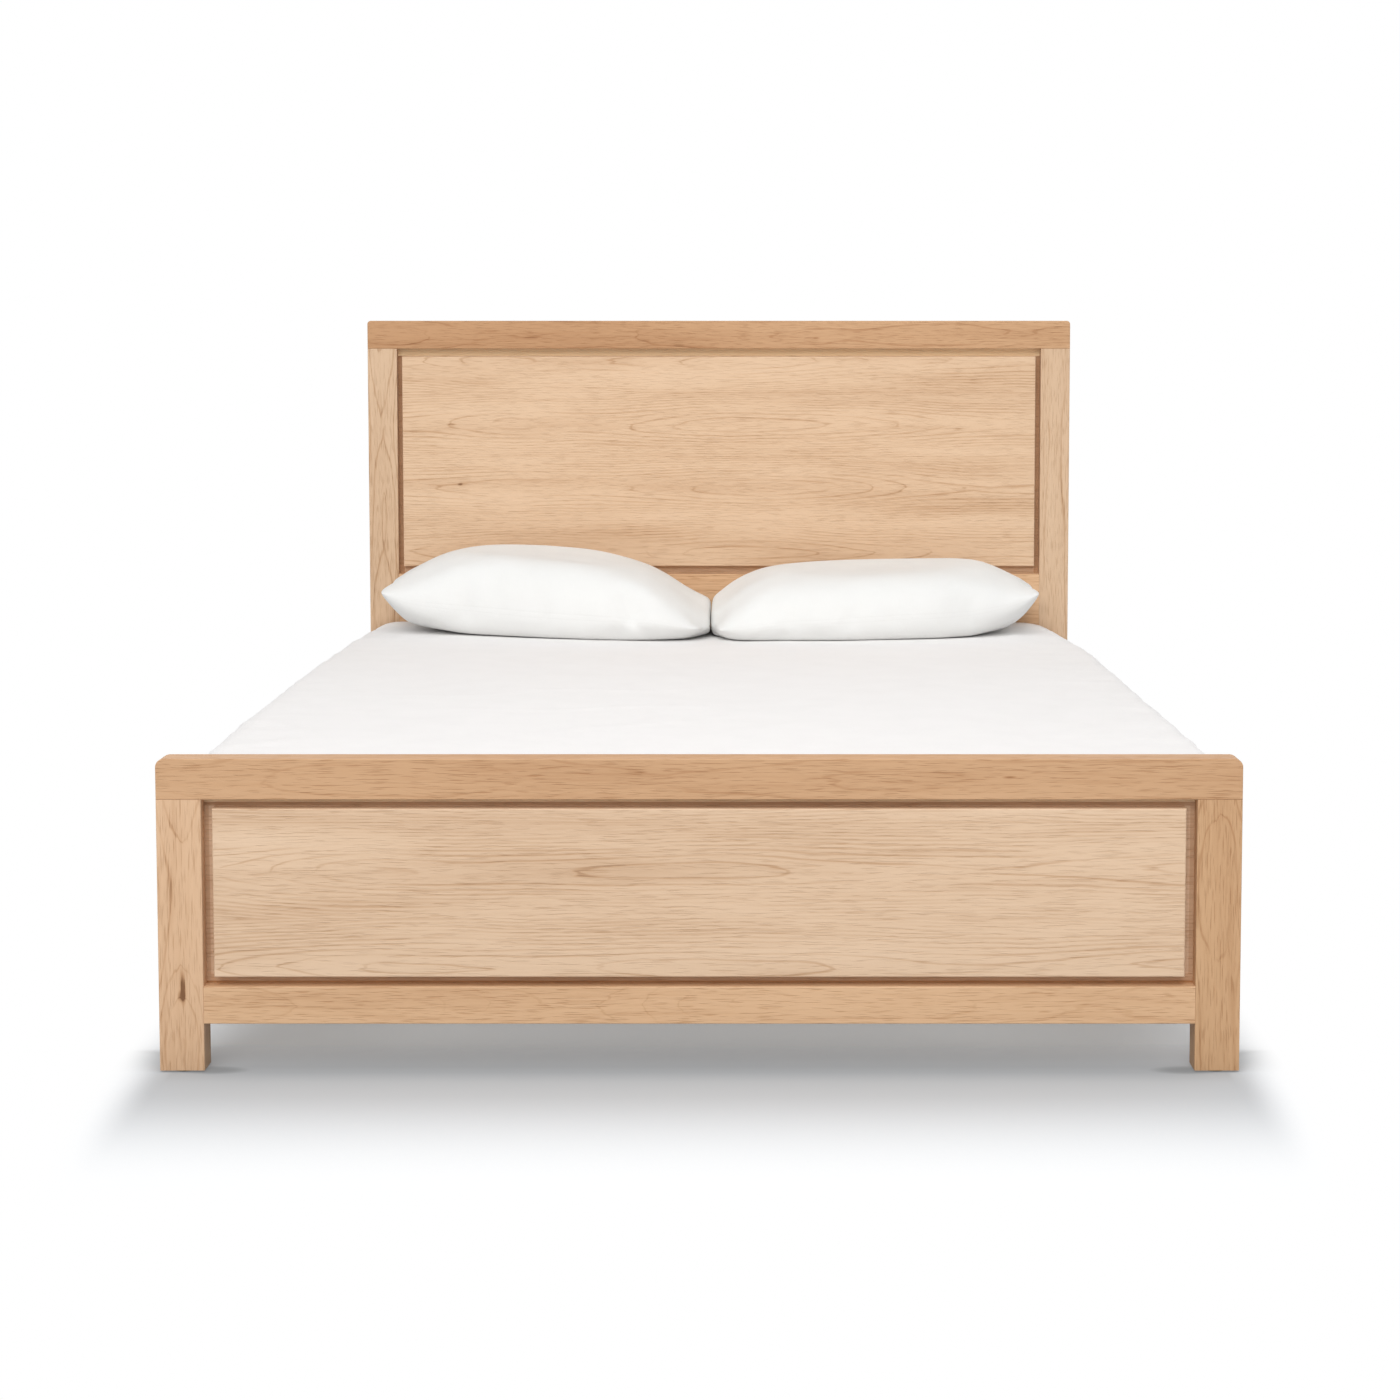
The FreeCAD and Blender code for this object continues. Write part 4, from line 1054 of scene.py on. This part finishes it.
    def _under_pillows(self, x: float, y: float) -> float:
        """Says how much a point of the top lies under the pillows.

        Args:
            x: Its place across the bed.
            y: Its place along the bed.

        Returns:
            A share from 0 to 1.
        """
        near, far = self.covered
        aside = abs(x - self.parting)
        back = y - near - 0.10 * abs(aside - self.belly)
        inside_x = min(1.0, max(0.0, (far - aside) / self.soft[0]))
        inside_y = min(1.0, max(0.0, back / self.soft[1]))
        inside = inside_x * inside_y
        return inside * inside * (3 - 2 * inside)


# How the cotton of a case gives while it is filled
FILLING = {
    "quality": 6, "mass": 0.3, "tension_stiffness": 15, "compression_stiffness": 15,
    "shear_stiffness": 7, "bending_stiffness": 0.6, "use_pressure": True, "uniform_pressure_force": 4,
}


@dataclass
class Pillow:
    """A pillow in a plain cotton case: two squares of cloth, sewn together and filled.

    A line is a list of places along X, each with a measure there.

    Attributes:
        side: Which pillow it is, left or right.
        tip: The place across the bed of its outer end at the front.
        back_tip: The place of its outer end at the back.
        press: Where it meets its neighbour.
        crest: The height of its top line seen from the foot.
        front: The height of its front seam.
        back: The height of its back seam.
        setback: How far its front seam stands back.
        seed: What makes its folds its own.
        past: How far its end would reach past its neighbour's.
        give: How much of its end is pressed flat there.
        belly: How far its underside would sag with nothing under it.
        settle: How gently its underside meets the quilt.
        dome: The height of each half before it is filled.
        calm: How many times the filled cloth is smoothed.
        frames: How long it is filled for.
        cloth: The width and depth of the flat case.
        cell: The size of a face.
        corners: How much the corners of the case are rounded, outer and inner.
    """

    side: Side
    tip: float
    back_tip: float
    press: float
    crest: Line
    front: Line
    back: Line
    setback: Line
    seed: float
    past: float = 0.040
    give: float = 0.012
    belly: float = 0.076
    settle: float = 0.006
    dome: float = 0.030
    swell: float = 0.55
    calm: int = 6
    frames: int = 15
    cloth: tuple[float, float] = (0.800, 0.500)
    cell: float = 0.0105
    corners: tuple[float, float] = (0.34, 0.66)

    @property
    def hand(self) -> float:
        """Gives the way to its neighbour along X: 1 from the left pillow, -1 from the right one."""
        return 1.0 if self.side is Side.LEFT else -1.0

    def build(self) -> Object:
        """Makes the pillow and lets it ride on its own body.

        Returns:
            The piece.
        """
        name = f"pillow_{self.side.value}"
        piece = smooth_piece(f"{name}_case", self._bag(), PERCALE.material())
        self._fill(piece)
        self._settle(piece, *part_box(name))
        finer = piece.modifiers.new("subdivision", "SUBSURF")
        finer.levels = 1
        finer.render_levels = 1
        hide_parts(name)
        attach(piece, name)
        return piece

    def _bag(self) -> BMesh:
        """Makes the two flat squares, joined round their edge and lightly domed.

        Returns:
            The mesh.
        """
        wide, deep = self.cloth
        outer, inner = self.corners
        mesh = bmesh.new()
        seam = mesh.verts.layers.float.new("seam")
        bmesh.ops.create_grid(mesh, x_segments=int(wide / self.cell), y_segments=int(deep / self.cell),
                              size=0.5)
        lay_out(mesh, lambda vertex: (vertex.co.x * wide, vertex.co.y * deep))
        for vertex in mesh.verts:
            x, y = vertex.co.x * 2, vertex.co.y * 2
            vertex[seam] = min((1 - abs(x)) * wide, (1 - abs(y)) * deep) / 2
            ripple = 1 + 0.25 * noise.noise((x * 3 + self.seed, y * 3, 0.0))
            corner = outer + (inner - outer) * (1 + x * self.hand) / 2
            vertex.co.x = x * math.sqrt(1 - corner * y * y / 2) * wide / 2
            vertex.co.y = y * math.sqrt(1 - corner * x * x / 2) * deep / 2
            vertex.co.z = self.dome * (1 - x * x) * (1 - y * y) * ripple
        whole = mesh.verts[:] + mesh.edges[:] + mesh.faces[:]
        bmesh.ops.mirror(mesh, geom=whole, axis="Z", merge_dist=0.0001)
        return mesh

    def _fill(self, piece: Object) -> None:
        """Fills the case by pressure from inside, and keeps the filled shape.

        Args:
            piece: The flat case.
        """
        scene = bpy.context.scene
        modifier = piece.modifiers.new("filling", "CLOTH")
        modifier.point_cache.frame_start = 1
        modifier.point_cache.frame_end = self.frames
        modifier.settings.effector_weights.gravity = 0
        for name, value in FILLING.items():
            setattr(modifier.settings, name, value)
        for step in range(1, self.frames + 1):
            scene.frame_set(step)
        graph = bpy.context.evaluated_depsgraph_get()
        filled = bpy.data.meshes.new_from_object(piece.evaluated_get(graph))
        piece.modifiers.clear()
        scene.frame_set(1)
        mesh = bmesh.new()
        mesh.from_mesh(filled)
        for _ in range(self.calm):
            bmesh.ops.smooth_vert(mesh, verts=mesh.verts[:], factor=0.5,
                                  use_axis_x=True, use_axis_y=True, use_axis_z=True)
        mesh.to_mesh(filled)
        mesh.free()
        piece.data = filled

    def _settle(self, piece: Object, low: Vector, high: Vector) -> None:
        """Sets the filled case down in its place, flat where it rests on the quilt.

        Args:
            piece: The filled case about the origin.
            low: The lowest corner of the room it has.
            high: The highest corner of the room it has.
        """
        points = np.zeros(len(piece.data.vertices) * 3)
        piece.data.vertices.foreach_get("co", points)
        points = points.reshape(-1, 3)
        middle = (points.max(0) + points.min(0)) / 2
        across, deep, up = ((points - middle) / ((points.max(0) - points.min(0)) / 2)).T
        turn = (deep + 1) / 2
        outer = self.tip + (self.back_tip - self.tip) * turn
        inner = self.press + self.past * self.hand
        x = inner + (outer - inner) * (1 - across * self.hand) / 2
        crest, front, back, setback = (
            np.interp(x, *zip(*line)) for line in (self.crest, self.front, self.back, self.setback)
        )
        y = low.y + setback + turn * (high.y - low.y - setback)
        seam = front + (back - front) * turn * turn * (3 - 2 * turn)
        spare = seam + np.minimum(up, 0.0) * self.belly - low.z
        rested = low.z + (spare + np.sqrt(spare * spare + self.settle ** 2)) / 2
        lifted = seam + up * self._lift(x, up, seam, crest)
        z = np.where(up > 0, lifted, np.minimum(rested, seam))
        away = (self.press - x) * self.hand
        pressed = self.give * np.exp(np.minimum(away / self.give - 1, 0.0))
        kept = np.where(away > self.give, away, pressed)
        placed = np.stack((self.press - kept * self.hand, y, z), axis=1)
        piece.data.vertices.foreach_set("co", placed.ravel())
        piece.data.update()

    def _lift(self, x: np.ndarray, up: np.ndarray, seam: np.ndarray, crest: np.ndarray) -> np.ndarray:
        """Finds how much the filled case is raised so that its top line follows the crest.

        Args:
            x: The points' places across the bed.
            up: How high they are in the filled case, from -1 to 1.
            seam: The height of the seam at each.
            crest: The height of the crest at each.

        Returns:
            What the height in the case is multiplied by at each point.
        """
        strips, lowest, highest = 36, 0.10, 0.25
        ends = np.linspace(x.min(), x.max(), strips + 1)
        middles = (ends[1:] + ends[:-1]) / 2
        needed = []
        for first, last in zip(ends[:-1], ends[1:]):
            here = (x >= first) & (x <= last) & (up > lowest)
            needed.append(((crest[here] - seam[here]) / up[here]).min() if here.any() else 0.0)
        evened = np.convolve(np.pad(needed, 2, mode="edge"), np.ones(5) / 5, mode="valid")
        return np.clip(np.interp(x, middles, evened), 0.0, highest)


PILLOWS = (
    Pillow(
        Side.LEFT,
        tip=-0.748,
        back_tip=-0.757,
        press=-0.0153,
        crest=((-0.748, 0.556), (-0.715, 0.582), (-0.674, 0.6085), (-0.606, 0.6360), (-0.520, 0.6440),
               (-0.430, 0.6420), (-0.357, 0.6375), (-0.267, 0.6300), (-0.176, 0.6060), (-0.131, 0.5900),
               (-0.063, 0.5500), (-0.030, 0.525), (0.030, 0.495)),
        front=((-0.748, 0.553), (-0.700, 0.535), (-0.640, 0.524), (-0.560, 0.516), (-0.400, 0.508),
               (-0.150, 0.500), (0.030, 0.470)),
        back=((-0.757, 0.540), (-0.400, 0.530), (0.030, 0.500)),
        setback=((-0.748, 0.120), (-0.650, 0.122), (-0.560, 0.112), (-0.500, 0.096), (-0.430, 0.072),
                 (-0.350, 0.042), (-0.250, 0.014), (-0.150, 0.0), (0.030, 0.008)),
        seed=2.0,
    ),
    Pillow(
        Side.RIGHT,
        tip=0.7165,
        back_tip=0.727,
        press=-0.0147,
        crest=((-0.060, 0.495), (-0.008, 0.527), (0.051, 0.5780), (0.119, 0.6000), (0.187, 0.6050),
               (0.300, 0.6080), (0.450, 0.6105), (0.590, 0.6150), (0.640, 0.6000), (0.690, 0.570),
               (0.7165, 0.552)),
        front=((-0.060, 0.470), (0.060, 0.484), (0.150, 0.494), (0.400, 0.506), (0.560, 0.510),
               (0.640, 0.524), (0.690, 0.540), (0.7165, 0.551)),
        back=((-0.060, 0.500), (0.300, 0.520), (0.727, 0.535)),
        setback=((-0.060, 0.050), (-0.010, 0.020), (0.060, 0.0), (0.300, 0.014), (0.500, 0.044),
                 (0.640, 0.100), (0.7165, 0.115)),
        seed=11.0,
    ),
)


# The frame


@dataclass
class SlatTape:
    """A woven tape stapled under the slats, which keeps them apart.

    Attributes:
        side: Which tape it is, left or right.
        sag: How far it hangs between two slats.
        staple: The length and thickness of a staple.
        stapled: How far each of a slat's two staples is from the slat's middle.
        play: How far it hangs clear of the slats.
        rows: How many faces it has along its length.
    """

    side: Side
    sag: float = 0.0012
    staple: tuple[float, float] = (0.011, 0.0012)
    stapled: float = 0.018
    play: float = 0.0001
    rows: int = 160

    def build(self) -> Object:
        """Makes the tape and its staples, and fixes them to the frame.

        Returns:
            The tape.
        """
        node = f"slat_strap_{self.side.value}"
        low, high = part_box(node)
        slats = [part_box(name) for name in frame["nodes"] if name.removeprefix("slat_").isdigit()]
        middles = sorted((a.y + b.y) / 2 for a, b in slats)
        pitch = (middles[-1] - middles[0]) / (len(middles) - 1)
        mesh = bmesh.new()
        bmesh.ops.create_grid(mesh, x_segments=2, y_segments=self.rows, size=0.5)
        width, length, thickness = high - low
        for vertex in mesh.verts:
            y = low.y + (vertex.co.y + 0.5) * length
            swing = (1 - math.cos(2 * math.pi * (y - middles[0]) / pitch)) / 2
            hang = self.sag * swing if middles[0] < y < middles[-1] else 0.0
            vertex.co = ((low.x + high.x) / 2 + vertex.co.x * width, y, high.z - thickness / 2 - hang)
        lay_out(mesh, lambda vertex: (vertex.co.x, vertex.co.y))
        bmesh.ops.solidify(mesh, geom=mesh.faces[:], thickness=thickness * 0.9)
        bmesh.ops.translate(mesh, vec=(0, 0, -self.play), verts=mesh.verts[:])
        tape = smooth_piece(f"{node}_tape", mesh, WEBBING.material())
        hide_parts(node)
        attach(tape, "frame")
        self._staples(node, middles, low, high)
        return tape

    def _staples(self, node: str, middles: list[float], low: Vector, high: Vector) -> None:
        """Adds two staples through the tape under each slat.

        Args:
            node: The tape's node.
            middles: The middle of each slat along the bed.
            low: The tape's lowest corner.
            high: The tape's highest corner.
        """
        mesh = bmesh.new()
        long, thick = self.staple
        half = Vector((long, thick, thick)) / 2
        for middle in middles:
            for step in (-self.stapled, self.stapled):
                place = Vector(((low.x + high.x) / 2, middle + step, low.z + self.play))
                block(mesh, place - half, place + half)
        round_off(mesh, mesh.edges[:], thick * 0.3, 1)
        piece = smooth_piece(f"{node}_staples", mesh, HARD["zinc_steel"].material())
        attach(piece, "frame")


class Frame:
    """The bed's own frame: oak boards, pine base, steel fittings and fixings."""

    def dress(self) -> None:
        """Gives every node of the frame its finish. The soft pieces make their own."""
        slots = {row["node"]: row["material_slot"] for row in frame["record"]["subparts"]}
        for number, (node, piece) in enumerate(sorted(frame["nodes"].items())):
            slot = slots[node]
            if slot == "oak":
                material = OAK[node].material(node)
            elif slot == "pine":
                material = pine(self._cut(node), number * 1.37).material(node)
            elif slot == "beech":
                material = beech(Cut.ACROSS, number).material(node)
            elif slot in HARD:
                material = HARD[slot].material()
            else:
                continue
            piece.data.materials.clear()
            piece.data.materials.append(material)
            LOG.info("dressed %s in %s", node, material.name)

    def _cut(self, node: str) -> Cut:
        """Says which way the grain of a piece of the base runs.

        Args:
            node: The piece's node.

        Returns:
            The cut.
        """
        if node.startswith("slat_cleat") or node == "centre_beam":
            return Cut.BEAM
        if node.startswith("centre_leg"):
            return Cut.UPRIGHT
        return Cut.SLAT


# The studio


class Beam(Enum):
    """How a lamp shines: as a near square panel, or as light from far off."""

    PANEL = "AREA"
    DISTANT = "SUN"


@dataclass(frozen=True)
class Lamp:
    """A soft light.

    Attributes:
        name: Its name.
        beam: How it shines.
        place: Where it hangs.
        aim: What it points at.
        size: A panel's side in metres, or the angle of distant light in radians.
        power: A panel's power in watts, or the strength of distant light.
    """

    name: str
    beam: Beam
    place: Point
    aim: Point
    size: float
    power: float

    def hang(self) -> None:
        """Adds the light to the scene."""
        light = bpy.data.lights.new(self.name, self.beam.value)
        if self.beam is Beam.PANEL:
            light.shape = "SQUARE"
            light.size = self.size
        else:
            light.angle = self.size
        light.energy = self.power
        lamp = bpy.data.objects.new(self.name, light)
        towards = Vector(self.aim) - Vector(self.place)
        turn = towards.to_track_quat("-Z", "Y").to_matrix().to_4x4()
        lamp.matrix_world = Matrix.Translation(self.place) @ turn
        bpy.context.scene.collection.objects.link(lamp)


@dataclass
class Studio:
    """A white floor that keeps the bed's shadow, with a painted shadow round the bed, even light and
    the camera.

    Attributes:
        ambient: The strength of the light from all round.
        white: How much of the floor is seen in its own white, the rest being lit.
        lifted: How much more of it glows under the foot of the bed, as painted light that lightens the
            shadow there.
        half: Half the floor's width.
        cast: The tint of its painted shadow.
        edges: Half the width and half the length of the floor's painted shadow.
        steep: How much faster it ends beside the bed than before it.
        clear: From how far away to how far the floor turns plain white.
        levels: How pale the paint is, from under the bed, by its front line and away from it: a painted
            shadow, darkest by the front line and painted paler under the bed.
        post: The middle of a foot post's painted contact shadow, left or right.
        contact_shadow_size: Half the width and depth of that shadow.
        camera: Where the camera stands.
        pitch: How far it looks down, in radians.
        lens: Its focal length in millimetres.
        shift: Its shift, as shares of the picture.
        lamps: The lights.
    """

    ambient: float = 0.455
    white: float = 0.17
    lifted: float = 0.14
    half: float = 15.0
    cast: Colour = (0.955, 1.0, 1.05)
    edges: tuple[float, float] = (0.80, 1.07)
    steep: float = 6.0
    clear: tuple[float, float] = (0.12, 0.62)
    levels: Line = ((0.42, 0.86), (0.455, 0.56), (0.485, 0.334), (0.50, 0.30), (0.55, 0.38),
                    (0.62, 0.43), (0.76, 0.585), (0.98, 0.815))
    post: tuple[float, float] = (0.742, -1.058)
    contact_shadow_size: tuple[float, float] = (0.062, 0.024)
    camera: Point = (0.0836, -4.7561, 1.1051)
    pitch: float = 0.0705
    lens: float = 63.53
    shift: tuple[float, float] = (-0.039, -0.13)
    lamps: tuple[Lamp, ...] = (
        Lamp("key", Beam.DISTANT, (-1.2, -6.0, 4.4), (0.0, 0.0, 0.4), 0.85, 1.40),
        Lamp("foot", Beam.PANEL, (0.0, -1.9, 3.0), (0.0, -0.9, 0.4), 2.4, 33.0),
        Lamp("side", Beam.DISTANT, (5.0, 2.5, 4.0), (0.0, 0.0, 0.4), 0.9, 0.35),
    )

    def build(self) -> None:
        """Makes the floor, the light and the camera."""
        mesh = bmesh.new()
        bmesh.ops.create_grid(mesh, x_segments=2, y_segments=2, size=self.half)
        smooth_piece("studio_floor", mesh, self._floor_paint())
        self._world()
        for lamp in self.lamps:
            lamp.hang()
        self._camera()

    def _floor_paint(self) -> Material:
        """Makes the floor's paint: a painted shadow round the bed, a painted contact shadow by each
        foot post and painted light under the foot of the bed, turning into plain white away from the
        bed.

        Returns:
            The material.
        """
        graph = Graph(bpy.data.materials.new("studio_floor"))
        x, y, _ = graph.place()
        half_width, half_length = self.edges
        beside = (x.size() - half_width).most(0.0) * self.steep
        beyond = (y.size() - half_length).most(0.0)
        away = (beside * beside + beyond * beyond).root()
        under = (half_length - y.size()).most(0.0)
        seen = self._seen(graph)
        # The painted shadow round the bed, darkest by its front line and painted paler under it
        stops = [(place, tuple(level * share for share in self.cast)) for place, level in self.levels]
        open_end = (1.0 - under * 8.0).most(0.0)
        tint = graph.ramp(away * open_end - under * 0.5 + 0.5, stops)
        # A painted contact shadow by each foot post
        aside = (x.size() - self.post[0]) / self.contact_shadow_size[0]
        before = (y - self.post[1]) / self.contact_shadow_size[1]
        contact = 1.0 - (aside * aside + before * before).between(0.0, 1.0)
        tint = graph.mix(contact * 0.75, tint, (0.30, 0.30, 0.30), Blend.STAIN)
        # Painted light: more glow under the foot of the bed lightens the shadow there
        inward = y + half_length
        lifted = inward.between(0.03, 0.25) * (1.0 - inward.between(0.45, 1.0))
        lifted = lifted * (1.0 - x.size().between(0.40, 0.80) * 0.75)
        paint = graph.node("BsdfDiffuse", {"Color": tint})
        glow = graph.node("Emission", {"Strength": seen * (lifted * self.lifted + self.white)})
        both = graph.node("AddShader", {0: paint.outputs[0], 1: glow.outputs[0]})
        plain = graph.node("Emission", {})
        far = seen * away.between(*self.clear)
        choose = graph.node("MixShader", {0: far, 1: both.outputs[0], 2: plain.outputs[0]})
        return graph.end(choose, "OutputMaterial")

    def _seen(self, graph: Graph) -> Field:
        """Gives 1 where a ray comes from the camera, or by way of metal or glass.

        Args:
            graph: The tree it is for.

        Returns:
            The share.
        """
        path = graph.node("LightPath", {})
        kinds = ("Camera", "Glossy", "Transmission")
        camera, glossy, through = (Field(graph, path.outputs[f"Is {kind} Ray"]) for kind in kinds)
        return camera.most(glossy).most(through)

    def _world(self) -> None:
        """Lights the bed evenly from all round, against a white background."""
        world = bpy.data.worlds.new("studio")
        bpy.context.scene.world = world
        graph = Graph(world)
        strength = self._seen(graph) * (1.0 - self.ambient) + self.ambient
        sky = graph.node("Background", {"Color": (1.0, 1.0, 1.0, 1.0), "Strength": strength})
        graph.end(sky, "OutputWorld")

    def _camera(self) -> None:
        """Stands the camera at the foot of the bed."""
        data = bpy.data.cameras.new("camera")
        data.lens = self.lens
        data.sensor_width = 36.0
        data.shift_x, data.shift_y = self.shift
        camera = bpy.data.objects.new("camera", data)
        camera.location = self.camera
        camera.rotation_euler = (math.pi / 2 - self.pitch, 0.0, 0.0)
        bpy.context.scene.collection.objects.link(camera)
        bpy.context.scene.camera = camera


def main() -> None:
    """Sets up the studio, dresses the frame and makes the bed."""
    logging.basicConfig(level=logging.INFO, format="%(message)s")
    bpy.context.scene.view_settings.view_transform = "Standard"
    Studio().build()
    Frame().dress()
    for maker in (Mattress(), Quilt(), *PILLOWS, SlatTape(Side.LEFT), SlatTape(Side.RIGHT)):
        piece = maker.build()
        LOG.info("made %s: %d faces", piece.name, len(piece.data.polygons))


if __name__ == "__main__":
    main()
